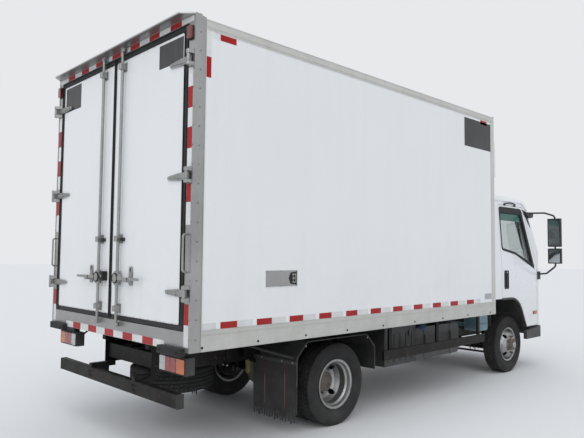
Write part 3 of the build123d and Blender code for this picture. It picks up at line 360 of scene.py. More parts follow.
salt = (0.36, 0.345, 0.32)
lens = dict(dust=(salt, 0.10, 0.4, 1.1), rough=0.16, grain=(0.03, 200), relief=0.0007, Coat_Weight=0.8,
            Coat_Roughness=0.05)
looks = {
    "boxWhite": dict(colour=(0.80, 0.815, 0.83), drift=((0.74, 0.755, 0.77), 0.35, 0.9),
        dust=((0.60, 0.60, 0.58), 0.22, 0.9, 1.9), streaks=0.10, rough=0.33, grain=(0.01, 60),
        relief=0.0006, Coat_Weight=0.25, Coat_Roughness=0.15),
    "cabPaint": dict(colour=(0.79, 0.81, 0.84), drift=((0.73, 0.75, 0.78), 0.3, 1.5),
        dust=((0.52, 0.50, 0.46), 0.42, 0.45, 1.35), streaks=0.08, rough=0.24, grain=(0.012, 900),
        relief=0.00008, Coat_Weight=0.7, Coat_Roughness=0.06),
    "stainless": dict(colour=(0.40, 0.40, 0.395), drift=((0.29, 0.29, 0.285), 0.6, 3),
        dust=(salt, 0.35, 0.7, 1.5), streaks=0.12, rough=0.3, grain=(0.10, 700, (1, 1, 0.02)),
        relief=0.0001, Metallic=0.85, Anisotropic=0.4),
    "railAluminium": dict(colour=(0.60, 0.60, 0.575), drift=((0.52, 0.515, 0.49), 0.4, 3),
        dust=(salt, 0.4, 0.75, 1.5), streaks=0.18, rough=0.42, grain=(0.06, 500, (1, 0.03, 1)),
        relief=0.0001, Metallic=0.55),
    "floorAluminium": dict(colour=(0.55, 0.555, 0.56), drift=(0.42, 0.6, 6), rough=0.38,
        grain=(0.12, 400, (1, 0.05, 1)), relief=0.0003, Metallic=0.75),
    "zinc": dict(pattern=(cells, (0.34, 0.345, 0.34), 160, 0.16), drift=((0.25, 0.255, 0.25), 0.5, 9),
        dust=((0.45, 0.40, 0.34), 0.25, 0.8, 2), streaks=0.2, rough=0.36, grain=(0.05, 500), relief=0.0001,
        Metallic=0.8),
    "chassisBlack": dict(pattern=(rust, (0.016, 0.016, 0.017), 0.5, 0.0, 22),
        drift=((0.035, 0.033, 0.03), 0.6, 6), dust=(salt, 0.10, 0.25, 1.05), rough=0.48, grain=(0.2, 300),
        relief=0.0004, Specular_IOR_Level=0.3),
    "castIron": dict(pattern=(rust, (0.13, 0.13, 0.135), 0.55, 0.3, 30),
        drift=((0.10, 0.095, 0.09), 0.5, 8), dust=(salt, 0.45, 0.2, 0.9), rough=0.6, grain=(0.25, 260),
        relief=0.001),
    "engineCasting": dict(colour=(0.20, 0.205, 0.21), drift=((0.11, 0.105, 0.10), 0.8, 5),
        dust=((0.20, 0.18, 0.15), 0.6, 0.5, 1.2), rough=0.62, grain=(0.2, 180), relief=0.0015),
    "tankPaint": dict(colour=(0.02, 0.02, 0.021), drift=((0.045, 0.043, 0.041), 0.5, 5),
        dust=(salt, 0.14, 0.35, 1.0), rough=0.36, grain=(0.1, 350), relief=0.0003),
    "blackPlastic": dict(pattern=(cells, (0.020, 0.020, 0.021), 420, 0.15),
        drift=((0.04, 0.04, 0.042), 0.4, 7), dust=(salt, 0.14, 0.35, 1.3), rough=0.5, grain=(0.1, 500),
        relief=0.0002),
    "hotSteel": dict(pattern=(rust, (0.42, 0.40, 0.37), 0.35, 0.35, 26), drift=((0.30, 0.23, 0.16), 0.7, 9),
        dust=(salt, 0.4, 0.35, 0.8), rough=0.4, grain=(0.15, 300), relief=0.0005),
    "reservoir": dict(colour=(0.13, 0.24, 0.29), drift=((0.06, 0.14, 0.19), 0.7, 8),
        dust=(salt, 0.35, 0.5, 1.0), rough=0.35, grain=(0.05, 260), relief=0.0002, Subsurface_Weight=0.25,
        Subsurface_Radius=(0.02, 0.02, 0.02), Subsurface_Scale=0.5),
    "tyreRubber": dict(colour=(0.014, 0.014, 0.015), drift=((0.028, 0.027, 0.026), 0.7, 10),
        dust=((0.40, 0.39, 0.38), 0.07, 0.0, 0.95), rough=0.72, grain=(0.15, 300), relief=0.0004,
        Specular_IOR_Level=0.25),
    "rimPaint": dict(pattern=(rust, (0.45, 0.455, 0.46), 0.35, 0.04, 34),
        drift=((0.27, 0.265, 0.255), 0.55, 9), dust=((0.10, 0.09, 0.085), 0.30, 0.05, 0.9), rough=0.38,
        grain=(0.05, 400), relief=0.0004),
    "rustyNut": dict(pattern=(rust, (0.22, 0.19, 0.165), 0.5, 0.34, 55),
        drift=((0.10, 0.07, 0.05), 0.5, 30), dust=(salt, 0.2, 0.1, 0.9), rough=0.55, grain=(0.2, 500),
        relief=0.0006),
    "softRubber": dict(colour=(0.018, 0.018, 0.019), drift=(0.045, 0.5, 6), dust=(salt, 0.08, 0.1, 1.3),
        rough=0.6, grain=(0.1, 600), relief=0.0002, Specular_IOR_Level=0.3),
    "oliveRubber": dict(colour=(0.16, 0.14, 0.045), drift=((0.07, 0.065, 0.03), 0.6, 14), rough=0.6,
        grain=(0.1, 400), relief=0.0003),
    "blueCap": dict(colour=(0.02, 0.06, 0.20), drift=((0.03, 0.05, 0.10), 0.5, 20),
        dust=(salt, 0.2, 0.4, 1.1), rough=0.4, grain=(0.1, 400), relief=0.0002),
    "bodySkin": dict(pattern=(cells, (0.78, 0.79, 0.80), 500, 0.015), drift=((0.70, 0.71, 0.72), 0.3, 3),
        dust=(0.5, 0.1, 2.5, 3.4), streaks=0.1, rough=0.35, grain=(0.02, 300), relief=0.0002,
        Coat_Weight=0.2),
    "trimGrey": dict(pattern=(cells, (0.17, 0.17, 0.175), 330, 0.14), drift=((0.13, 0.13, 0.135), 0.3, 6),
        rough=0.55, grain=(0.06, 700), relief=0.0004),
    "seatCloth": dict(pattern=(weave, (0.13, 0.14, 0.16), (0.30, 0.32, 0.36), 190),
        drift=((0.11, 0.12, 0.14), 0.35, 7), rough=0.85, grain=(0.12, 800), relief=0.0006, Sheen_Weight=0.4,
        Sheen_Roughness=0.5),
    "redLens": dict(lens, pattern=(prisms, (0.36, 0.014, 0.010), 55, 34),
                    drift=((0.24, 0.012, 0.010), 0.25, 12)),
    "amberLens": dict(lens, pattern=(prisms, (0.72, 0.15, 0.012), 55, 34),
                      drift=((0.50, 0.10, 0.01), 0.25, 12)),
    "clearLens": dict(pattern=(prisms, (0.55, 0.56, 0.56), 48, 20), drift=((0.42, 0.43, 0.43), 0.4, 12),
        dust=(salt, 0.2, 0.4, 1.1), rough=0.1, grain=(0.02, 200), relief=0.0006, Coat_Weight=0.8,
        Coat_Roughness=0.04),
    "darkRedLamp": dict(pattern=(prisms, (0.20, 0.012, 0.012), 90, 60), drift=((0.08, 0.01, 0.01), 0.3, 14),
        rough=0.18, grain=(0.03, 200), relief=0.0005, Coat_Weight=0.8),
    "redTape": dict(pattern=(cells, (0.36, 0.006, 0.008), 260, 0.14), drift=((0.26, 0.006, 0.008), 0.35, 8),
        dust=(salt, 0.04, 0.8, 2.2), rough=0.3, grain=(0.03, 300), relief=0.00015, Specular_IOR_Level=0.25),
    "whiteTape": dict(pattern=(cells, (0.72, 0.73, 0.74), 260, 0.10), drift=((0.52, 0.53, 0.52), 0.35, 8),
        dust=(salt, 0.3, 0.8, 2.2), rough=0.3, grain=(0.03, 300), relief=0.00015, Coat_Weight=0.4),
    "greyReflector": dict(pattern=(cells, (0.36, 0.365, 0.38), 220, 0.2),
        drift=((0.26, 0.26, 0.27), 0.3, 12), dust=(salt, 0.2, 0.8, 1.6), rough=0.25, grain=(0.03, 300),
        relief=0.0002, Coat_Weight=0.5),
    "darkVinyl": dict(colour=(0.010, 0.010, 0.011), drift=((0.018, 0.018, 0.020), 0.4, 6),
        dust=(0.3, 0.15, 2.4, 3.6), streaks=0.12, rough=0.35, grain=(0.05, 500), relief=0.0001),
    "chrome": dict(colour=(0.82, 0.84, 0.86), drift=((0.70, 0.72, 0.74), 0.4, 20), rough=0.06,
        grain=(0.02, 500), relief=0.00003, Metallic=1.0),
    "mirrorGlass": dict(colour=(0.46, 0.49, 0.50), drift=((0.34, 0.36, 0.37), 0.4, 9),
        dust=(0.4, 0, 0.3, 1.2), streaks=0.1, rough=0.05, grain=(0.01, 300), relief=0.00003, Metallic=1.0),
    "windowGlass": dict(colour=(0.74, 0.78, 0.77), drift=((0.64, 0.68, 0.67), 0.3, 3),
        dust=(0.4, 0, 0.3, 1.2), streaks=0.05, rough=0.03, grain=(0.01, 200), relief=0.00002,
        Transmission_Weight=1.0, IOR=1.45),
    "lampGlass": dict(colour=(0.93, 0.95, 0.96), drift=((0.86, 0.88, 0.88), 0.3, 8), rough=0.04,
        grain=(0.01, 200), relief=0.00004, Transmission_Weight=1.0, IOR=1.4),
    "greenBand": dict(colour=(0.03, 0.22, 0.18), drift=((0.02, 0.12, 0.10), 0.3, 3), rough=0.12,
        grain=(0.02, 200), relief=0.00003, Transmission_Weight=0.55, IOR=1.45),
}
finishes = {name: surface(name, **look) for name, look in looks.items()}
finishOfSlot = {
    "frame_black": "chassisBlack",
    "under_grey": "castIron",
    "engine_grey": "engineCasting",
    "tank_black": "tankPaint",
    "plastic_black": "blackPlastic",
    "exhaust_steel": "hotSteel",
    "reservoir": "reservoir",
    "tyre": "tyreRubber",
    "rim_grey": "rimPaint",
    "lamp": "blackPlastic",
    "head_lamp": "lampGlass",
    "rubber": "softRubber",
    "body_white": "boxWhite",
    "floor_alu": "floorAluminium",
    "stainless": "stainless",
    "rail_alu": "railAluminium",
    "unit_white": "bodySkin",
    "cab_white": "cabPaint",
    "glass": "windowGlass",
    "trim_grey": "trimGrey",
    "seat_fabric": "seatCloth",
    "galvanised": "zinc",
}
for part in frame["record"]["subparts"]:
    for held in frame["nodes"][part["node"]].material_slots:
        held.material = finishes[finishOfSlot[part["material_slot"]]]
print("every CAD node has its material")


# Mesh building: a part is an array of points with a list of faces, and a piece is made of such parts


def boxes(lows, highs):  # one box between each pair of corners
    lows, highs = np.broadcast_arrays(np.atleast_2d(np.array(lows, float)),
                                      np.atleast_2d(np.array(highs, float)))
    corner = np.array([[0, 0, 0], [1, 0, 0], [1, 1, 0], [0, 1, 0],
                       [0, 0, 1], [1, 0, 1], [1, 1, 1], [0, 1, 1]])
    side = np.array([[0, 3, 2, 1], [4, 5, 6, 7], [0, 1, 5, 4], [2, 3, 7, 6], [1, 2, 6, 5], [3, 0, 4, 7]])
    points = lows[:, None] * (1 - corner) + highs[:, None] * corner
    faces = side[None] + 8 * np.arange(len(lows))[:, None, None]
    return points.reshape(-1, 3), faces.reshape(-1, 4).tolist()


def block(across, ahead, height):  # one box from pairs of limits; ahead is counted from the rear face
    return boxes([across[0], yAt(ahead[1]), height[0]], [across[1], yAt(ahead[0]), height[1]])


def skin(rows, count, turned=True, closed=True):  # faces between neighbours in a grid; it may close both ways
    row, column = np.meshgrid(np.arange(rows - (not turned)), np.arange(count - (not closed)), indexing="ij")
    after, below = (row + 1) % rows, (column + 1) % count
    corners = [row * count + column, row * count + below, after * count + below, after * count + column]
    return np.stack(corners, -1).reshape(-1, 4).tolist()


def bands(count, *pairs):  # faces from one ring of points to another, for each pair of rings
    step = np.arange(count)
    after = (step + 1) % count
    made = [[step + low * count, after + low * count, after + high * count, step + high * count]
            for low, high in pairs]
    return [face for band in made for face in np.stack(band, 1).tolist()]


def lids(count, rows=2):  # the flat ends of a form whose first and last rings have count points
    return [list(range(count))[::-1], list(range((rows - 1) * count, rows * count))]


def prism(outline, axis, low, high):  # closed outline in the two other axes, carried along an axis
    ends = [np.insert(np.array(outline, float), axis, level, axis=1) for level in (low, high)]
    return np.concatenate(ends), bands(len(outline), (0, 1)) + lids(len(outline))


def bow(start, corner, end, steps):  # parabola from start to end that leans on the corner between them
    share = np.linspace(0, 1, steps)[None, :, None]
    middle = corner[:, None] * 2 * share * (1 - share)
    made = start[:, None] * (1 - share) ** 2 + middle + end[:, None] * share ** 2
    return made.reshape(-1, start.shape[1])


def rounded(outline, radius, steps=5):  # closed outline with bowed corners
    outline = np.array(outline, float)
    before = np.roll(outline, 1, 0) - outline
    after = np.roll(outline, -1, 0) - outline
    start = outline + before / np.linalg.norm(before, axis=1)[:, None] * radius
    end = outline + after / np.linalg.norm(after, axis=1)[:, None] * radius
    return bow(start, outline, end, steps)


def oblong(across, height, radius=0.0, steps=5):  # rectangle between two pairs of limits
    (left, right), (low, high) = across, height
    corners = [(left, low), (right, low), (right, high), (left, high)]
    return rounded(corners, radius, steps) if radius else corners


def smoothPath(points, bend=0.03, steps=5):  # straight runs with bowed corners
    points = np.array(points, float)
    before, after = points[:-2] - points[1:-1], points[2:] - points[1:-1]
    reach = np.linalg.norm(before, axis=1), np.linalg.norm(after, axis=1)
    cut = np.minimum(bend, np.minimum(*reach) * 0.5)[:, None]
    start = points[1:-1] + before / reach[0][:, None] * cut
    end = points[1:-1] + after / reach[1][:, None] * cut
    return np.concatenate([points[:1], bow(start, points[1:-1], end, steps), points[-1:]])


def carry(section, path, hint=(0, 0, 1)):  # closed section (u, v) carried square to a path, with flat ends
    path, section = np.array(path, float), np.array(section, float)
    run = np.gradient(path, axis=0)
    run /= np.linalg.norm(run, axis=1)[:, None]
    side = np.cross(run, np.array(hint, float))
    side /= np.linalg.norm(side, axis=1)[:, None]
    top = np.cross(side, run)
    points = path[:, None] + section[None, :, :1] * side[:, None] + section[None, :, 1:] * top[:, None]
    rows, count = len(path), len(section)
    return points.reshape(-1, 3), skin(rows, count, turned=False) + lids(count, rows)


def circle(sides):
    turn = np.arange(sides) * 2 * math.pi / sides
    return np.cos(turn), np.sin(turn)


def disc(radius, sides=12):
    cosine, sine = circle(sides)
    return np.stack([radius * cosine, radius * sine], 1)


def tube(points, radius, bend=0.03, sides=10, hint=(0.13, 0.21, 1)):
    return carry(disc(radius, sides), smoothPath(points, bend), hint)


def bar(start, end, radius, sides=16):
    return carry(disc(radius, sides), [start, end], (0.31, 0.17, 0.93))


def upright(x, ahead, low, high, radius, sides=16):  # bar that stands between two heights
    return bar((x, yAt(ahead), low), (x, yAt(ahead), high), radius, sides)


def lathe(profile, centre, axis=0, segments=48, closed=True):  # (along, radius) turned about an axis
    along, radius = np.array(profile, float).T
    cosine, sine = circle(segments)
    ring = np.stack([radius * cosine[:, None], radius * sine[:, None]], -1)
    points = np.insert(ring, axis, np.broadcast_to(along, ring.shape[:2]), axis=2)
    return points.reshape(-1, 3) + np.array(centre, float), skin(segments, len(profile), closed=closed)


def join(*parts):  # parts and lists of parts as one part
    points, faces, shift = [], [], 0
    for part in parts:
        more, corners = join(*part) if isinstance(part, list) else part
        points.append(more)
        faces += [[corner + shift for corner in face] for face in corners]
        shift += len(more)
    return np.concatenate(points), faces


def copies(part, offsets):
    return join([(part[0] + offset, part[1]) for offset in np.atleast_2d(np.array(offsets, float))])


def around(part, centre, axis, angles):  # copies turned about an axis through a centre, angles in degrees
    turns = [np.array(Matrix.Rotation(math.radians(angle), 3, "XYZ"[axis])) for angle in angles]
    return join([((part[0] - centre) @ turn.T + centre, part[1]) for turn in turns])


def flip(part):  # the same part on the truck's other side
    return part[0] * np.array([-1.0, 1, 1]), [face[::-1] for face in part[1]]


def bothSides(*parts):
    made = join(*parts)
    return join(made, flip(made))


def bolt(place, normal, size=0.012, height=0.008):  # hexagon head on its washer, standing on a face
    place, normal = np.array(place, float), np.array(normal, float)
    layers = ((size / 1.7, 6, height), (size * 0.9, 12, 0.002))
    return join([bar(place, place + normal * level, radius, sides) for radius, sides, level in layers])


def bolts(places, normal, size=0.012, height=0.008):
    return copies(bolt((0, 0, 0), normal, size, height), places)


def coat(finish, *parts):  # the parts that wear one finish
    return join(*parts), finish


def pair(finish, *parts):  # the same on both sides of the truck
    return bothSides(*parts), finish


def piece(name, body, slot, *coats, bevel=0.0, smooth=35):  # one object, which rides on a body
    mesh = bpy.data.meshes.new(name)
    points, faces = join(*[part for part, finish in coats])
    mesh.from_pydata(points.tolist(), [], faces)
    kinds = list(dict.fromkeys(finish for part, finish in coats))
    for kind in kinds:
        mesh.materials.append(finishes[kind])
    index = np.concatenate([np.full(len(part[1]), kinds.index(finish)) for part, finish in coats])
    mesh.polygons.foreach_set("material_index", index.astype(np.int32))
    mesh.validate()
    settle(mesh, merge=True)
    mesh.set_sharp_from_angle(angle=math.radians(smooth))
    made = show(name, mesh)
    if bevel:
        edge = made.modifiers.new("edge", "BEVEL")
        edge.width = bevel
        edge.segments = 2
        edge.limit_method = "ANGLE"
        edge.angle_limit = math.radians(40)
        edge.harden_normals = True
    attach(made, body)
    return made


def settle(mesh, merge):  # outward normals and smooth faces, with doubled points merged if asked for
    work = bmesh.new()
    work.from_mesh(mesh)
    if merge:
        bmesh.ops.remove_doubles(work, verts=work.verts, dist=1e-6)
    bmesh.ops.recalc_face_normals(work, faces=work.faces)
    work.to_mesh(mesh)
    work.free()
    mesh.polygons.foreach_set("use_smooth", np.ones(len(mesh.polygons), bool))


def onOne(side, name, body, slot, *coats, bevel=0.0):  # the piece on the left, or mirrored on the right
    turned = [(part if side == "left" else flip(part), finish) for part, finish in coats]
    piece(name + side.capitalize(), body + side, slot, *turned, bevel=bevel)


def onEach(name, body, slot, *coats, bevel=0.0):  # one piece on each side, on the left and right bodies
    for side in ("left", "right"):
        onOne(side, name, body, slot, *coats, bevel=bevel)


# Rear of the box

tape = {
    "thick": 0.0007,
    "headerReds": (0.962, 0.647, 0.331, 0.0, -0.335, -0.657, -0.983),
    "headerHalf": 0.081,
    "headerHeight": (3.404, 3.446),
    "headerEnd": 1.236,
    "pillarReds": ((2.737, 2.900), (2.428, 2.590), (2.021, 2.160), (1.106, 1.262)),
    "pillarWhites": ((2.900, 3.045), (2.590, 2.737), (2.290, 2.428), (1.850, 2.021), (0.945, 1.106)),
    "pillarX": (1.1735, 1.2345),
    "sillStart": 0.912,
    "sillLength": 0.1655,
    "sillCount": 11,
    "sillHeight": (0.907, 0.965),
    "sideHeight": (1.0645, 1.1145),
    "sideStart": 0.279,
    "sidePitch": 0.3655,
    "sideRed": 0.163,
    "sideWhite": 0.160,
    "sideCount": 11,
    "upperHeight": (3.302, 3.352),
}


def rearStrip(spans, height):  # thin strips on the rear face of the frame
    return [boxes([low, rearFace, height[0]], [high, rearFace + tape["thick"], height[1]])
            for low, high in spans]


def makeRearTape():
    half = tape["headerHalf"]
    reds = [(middle - half, middle + half) for middle in tape["headerReds"]]
    ends = sorted([tape["headerEnd"], -tape["headerEnd"]] + [end for span in reds for end in span])
    coats = [coat("redTape", rearStrip(reds, tape["headerHeight"])),
             coat("whiteTape", rearStrip(zip(ends[0::2], ends[1::2]), tape["headerHeight"]))]
    for spans, finish in ((tape["pillarReds"], "redTape"), (tape["pillarWhites"], "whiteTape")):
        coats += [pair(finish, rearStrip([tape["pillarX"]], span)) for span in spans]
    starts = tape["sillStart"] - tape["sillLength"] * np.arange(tape["sillCount"] + 1)
    for first, finish in ((0, "whiteTape"), (1, "redTape")):
        spans = [(starts[n + 1], starts[n]) for n in range(first, tape["sillCount"], 2)]
        coats.append(coat(finish, rearStrip(spans, tape["sillHeight"])))
    piece("rearReflectiveTape", "chassis", "stainless", *coats)


def sidePatch(ahead, height, thick=0.0007, face=1.2512):
    return block((face, face + thick), ahead, height)


def makeSideTape():
    low, high = tape["sideHeight"], tape["upperHeight"]
    starts = [tape["sideStart"] + n * tape["sidePitch"] for n in range(tape["sideCount"])]
    reds = [sidePatch((start, start + tape["sideRed"]), low) for start in starts]
    reds += [sidePatch((0.235, 0.394), high), sidePatch((0.102, 0.152), (2.987, 3.149)),
             sidePatch((4.30, 4.46), high)]
    whites = [sidePatch((start + tape["sideRed"], start + tape["sideRed"] + tape["sideWhite"]), low)
              for start in starts]
    whites += [sidePatch((0.102, 0.237), low), sidePatch((0.102, 0.152), (3.149, 3.352)),
               sidePatch((0.152, 0.235), high)]
    piece("sideReflectiveTape", "chassis", "body_white", pair("redTape", reds), pair("whiteTape", whites))


def rearPlate(across, height, radius, steps, low, high):
    # Rounded plate between two distances behind the rear face
    return prism(oblong(across, height, radius, steps), 1, rearFace + low, rearFace + high)


def makeBlankPanels():
    for side, across, height in (("Right", (-1.103, -0.743), (3.126, 3.32)),
                                 ("Left", (0.726, 1.080), (3.080, 3.325))):
        sheet = rearPlate(across, height, 0.006, 3, 0, 0.0006)
        piece("blankPanelLeaf" + side, "leaf_" + side.lower(), "body_white", coat("darkVinyl", sheet))
    side = sidePatch((3.912, 4.566), (2.980, 3.330))
    piece("blankPanelSides", "chassis", "body_white", pair("darkVinyl", side))


def makeMarkers():
    outline = oblong((1.172, 1.236), (3.258, 3.37), 0.01, 4)
    base = prism(outline, 1, rearFace, rearFace + 0.008)
    centre = outline.mean(0)
    lens = prism(centre + (outline - centre) * 0.9, 1, rearFace + 0.008, rearFace + 0.03)
    piece("rearMarkers", "chassis", "lamp", pair("softRubber", base), pair("darkRedLamp", lens), bevel=0.003)


def makeFrameFixings():
    heights = np.arange(1.0, 3.4, 0.145)
    posts = [bolts([(1.247, rearFace + 0.003, z) for z in heights], (0, 1, 0), 0.006, 0.002),
             bolts([(1.255, yAt(0.05), z) for z in heights], (1, 0, 0), 0.007, 0.002)]
    piece("postRivets", "chassis", "stainless", pair("zinc", posts))
    screws = bolts([(1.255, yAt(ahead), 0.936) for ahead in np.arange(0.11, 4.6, 0.548)],
                   (1, 0, 0), 0.011, 0.004)
    piece("railScrews", "chassis", "rail_alu", pair("chassisBlack", screws))
    lines = [(z, 0.0035) for z in (1.021, 1.029, 1.058, 0.909)] + [(z, 0.003) for z in (3.372, 3.378, 3.43)]
    ribs = [block((1.2548, 1.2568), (0.1, 4.626), (z, z + tall)) for z, tall in lines]
    piece("railRibs", "chassis", "rail_alu", pair("railAluminium", ribs))
    edges = [block((1.2505, 1.2555), ahead, (1.064, 3.357)) for ahead in ((4.55, 4.626), (0.0995, 0.104))]
    piece("wallEdges", "chassis", "rail_alu", pair("railAluminium", edges))


def makeHoldBack():
    # Stainless sheet that takes the opened leaf's catch, with its sprung tongue at one end on a flat black
    # plate that is painted shade for the pocket
    face = 1.255
    sheet = prism(oblong((yAt(1.098) + 0.004, yAt(0.728) - 0.004), (1.368, 1.502), 0.006, 4),
                  0, face, face + 0.0012)
    # painted shade: a flat black plate stands for the pocket's hollow
    pocketShade = [(1.012, 1.386), (0.990, 1.435), (1.012, 1.484), (1.086, 1.492), (1.086, 1.378)]
    pocketShade = prism([(yAt(ahead), z) for ahead, z in pocketShade], 0, face + 0.0012, face + 0.0018)
    tongue = [tube(at((face + 0.001, a, 1.398), (face + 0.010, a, 1.402), (face + 0.010, a, 1.468),
                      (face + 0.001, a, 1.472)), 0.004, 0.006) for a in (1.034, 1.064)]
    tongue += [block((face + 0.001, face + 0.007), (1.028, 1.070), (z - 0.006, z + 0.006))
               for z in (1.402, 1.435, 1.468)]
    spots = [(face + 0.0012, yAt(a), z) for a in (0.742, 0.90, 1.088) for z in (1.374, 1.496)]
    piece("holdBackPockets", "chassis", "stainless", pair("stainless", sheet), pair("softRubber", pocketShade),
          pair("zinc", tongue, bolts(spots, (1, 0, 0), 0.006, 0.002)))
    reflector = sidePatch((4.370, 4.535), (1.104, 1.172), 0.004)
    piece("sideReflectors", "chassis", "lamp", pair("greyReflector", reflector), bevel=0.0015)


def rearBar(x, z, start, end, radius, sides):  # bar that stands out from the rear face
    return bar((x, rearFace + start, z), (x, rearFace + end, z), radius, sides)


def makeLeafDetail(side):
    rod, clamps = 0.178, []
    for z in (1.160, 1.760, 3.275):
        spots = [(rod + x, rearFace + 0.006, z + up) for x in (-0.024, 0.024) for up in (-0.031, 0.031)]
        clamps += [bolts(spots, (0, 1, 0), 0.009, 0.005),
                   upright(rod, -0.048, z - 0.0245, z + 0.0245, 0.0195, 20)]
    hub = [upright(rod, -0.031, z - 0.012, z + 0.012, 0.026, 24) for z in (1.372, 1.468)]
    hub.append(rearBar(rod, 1.42, 0.012, 0.0575, 0.044, 40))
    collar = lathe([(0.046, 0.0435), (0.048, 0.0465), (0.057, 0.0465), (0.0595, 0.0435), (0.0590, 0.0370),
                    (0.0570, 0.0365)], (rod, rearFace, 1.42), 1, 40)
    catch = [bolts([(0.37 + x, rearFace + 0.006, z) for x in (-0.02, 0.02)], (0, 1, 0), 0.009, 0.005)
             for z in (1.372, 1.468)]
    catch.append(rearPlate((0.344, 0.396), (1.362, 1.524), 0.022, 6, 0.004, 0.0105))
    # the catch's eye is a thin black plate on its face: painted shade for the hole
    eye = rearPlate((0.361, 0.379), (1.478, 1.510), 0.008, 5, 0.0105, 0.0110)
    pins = []
    for z in (1.340, 2.220, 3.110):
        spots = [(x, rearFace + 0.014, z + up)
                 for x, up in ((0.965, 0), (1.02, 0), (1.075, 0.012), (1.075, -0.012))]
        rib = prism([(0.95, z), (1.19, z + 0.020), (1.19, z - 0.020)],
                    1, rearFace + 0.0139, rearFace + 0.0185)
        pins += [bolts(spots, (0, 1, 0), 0.011, 0.006), rib]
    knob = rearBar(0.124 if side == "left" else 0.232, 1.753, 0, 0.032, 0.017, 20)
    onOne(side, "leafFixings", "leaf_", "galvanised", coat("zinc", clamps, hub, catch, pins),
          coat("softRubber", eye, collar, knob), bevel=0.001)
    edges = [block(across, (-0.0012, 0.0), height) for across, height in (
        ((0.024, 1.108), (1.100, 1.109)), ((0.024, 1.108), (3.332, 3.341)),
        ((0.024, 0.033), (1.100, 3.341)), ((1.099, 1.108), (1.100, 3.341)))]
    onOne(side, "leafEdges", "leaf_", "body_white", coat("whiteTape", edges))
    spots = [(x, rearFace + 0.0012, z) for x in np.arange(0.07, 1.09, 0.118) for z in (1.1045, 3.3365)]
    onOne(side, "leafRivets", "leaf_", "galvanised", coat("zinc", bolts(spots, (0, 1, 0), 0.004, 0.0015)))
    lips = [block(across, (back, 0.004), height) for across, back, height in (
        ((1.112, 1.164), -0.006, (1.068, 1.094)), ((0.008, 1.164), -0.006, (3.347, 3.352)),
        ((0.008, 1.164), -0.006, (3.386, 3.391)), ((1.113, 1.118), -0.006, (1.10, 3.34)),
        ((1.158, 1.163), -0.006, (1.07, 3.39)), ((0.0065, 0.011), -0.010, (1.07, 3.39)),
        ((0.016, 0.0205), -0.008, (1.07, 3.39)))]
    onOne(side, "sealLips", "leaf_", "rubber", coat("softRubber", lips), bevel=0.001)


def makeKeyLock():
    body = block((0.062, 0.118), (-0.050, 0.0), (1.389, 1.472))
    tongue = block((0.083, 0.097), (-0.036, -0.032), (1.335, 1.389))
    key = rearBar(0.09, 1.43, 0.050, 0.055, 0.012, 20)
    piece("keyLock", "leaf_left", "galvanised", coat("softRubber", body),
          coat("zinc", tongue, key), bevel=0.003)


def makeRearLamps():
    lenses = ((0.782, 0.864, "clear"), (0.866, 0.935, "red"), (0.938, 1.016, "red"), (1.020, 1.128, "amber"))
    coats = [pair(colour + "Lens", rearPlate((low, high), (0.727, 0.837), 0.008, 4, -0.044, -0.0385))
             for low, high, colour in lenses]
    shroud = [block(across, (0.046, 0.130), height) for across, height in (
        ((0.771, 1.139), (0.8455, 0.849)), ((0.771, 1.139), (0.7155, 0.719)),
        ((0.771, 0.7755), (0.716, 0.848)), ((1.1345, 1.139), (0.716, 0.848)))]
    spots = [(x, yAt(0.0385), 0.782) for x in (0.790, 1.120)]
    lead = tube(at((0.95, 0.13, 0.79), (0.95, 0.17, 0.78), (0.90, 0.24, 0.86), (0.62, 0.26, 0.895),
                   (0.43, 0.30, 0.86)), 0.009, 0.05)
    coats += [pair("blackPlastic", shroud), pair("zinc", bolts(spots, (0, 1, 0), 0.007, 0.003)),
              pair("softRubber", lead)]
    piece("rearLampLenses", "chassis", "lamp", *coats, bevel=0.0012)


def makeUnderrun():
    end = block((1.0585, 1.0655), (0.022, 0.088), (0.462, 0.573))
    spots = [(x, yAt(0.025), z) for x in (0.385, 0.415) for z in (0.50, 0.535)]
    gussets = [prism([(yAt(0.085), 0.53), (yAt(0.19), 0.61), (yAt(0.085), 0.57)], 0, x, x + 0.006)
               for x in (0.368, 0.43)]
    step = block((-1.03, 1.03), (0.03, 0.08), (0.5695, 0.5725))
    piece("underrunFittings", "chassis", "frame_black", pair("softRubber", end),
          pair("chassisBlack", bolts(spots, (0, 1, 0), 0.014, 0.006)), pair("chassisBlack", gussets),
          coat("chassisBlack", step), bevel=0.0015)
    cover = block((0.878, 1.192), (-0.0475, -0.001), (0.8735, 0.9345))
    ribs = [block((0.890, 1.180), (-0.052, -0.0475), (z, z + 0.008)) for z in (0.882, 0.899, 0.916)]
    spots = [(x, rearFace + 0.0475, 0.904) for x in (0.92, 1.15)]
    piece("bufferFittings", "chassis", "rubber", pair("softRubber", cover, ribs),
          pair("chassisBlack", bolts(spots, (0, 1, 0), 0.012, 0.006)), bevel=0.0012)


makeRearTape()
makeSideTape()
makeBlankPanels()
makeMarkers()
makeFrameFixings()
makeHoldBack()
makeLeafDetail("left")
makeLeafDetail("right")
makeKeyLock()
makeRearLamps()
makeUnderrun()
print("rear and sides of the box are dressed")


# Wheels: each tyre is a closed ring whose radius is lowered where grooves, cross cuts and side ribs lie

tread = {
    "radius": 0.3915,
    "half": 0.1125,
    "bead": 0.2225,
    "grooves": (-0.052, -0.018, 0.018, 0.052),
    "grooveHalf": 0.0045,
    "grooveDepth": 0.011,
    "rib": 0.015,
    "blocks": 54,
    "lean": 0.22,
    "cutShare": 0.16,
    "cutDepth": 0.008,
    "flankDepth": 0.0012,
    "turns": 270,
    "columns": 65,
}


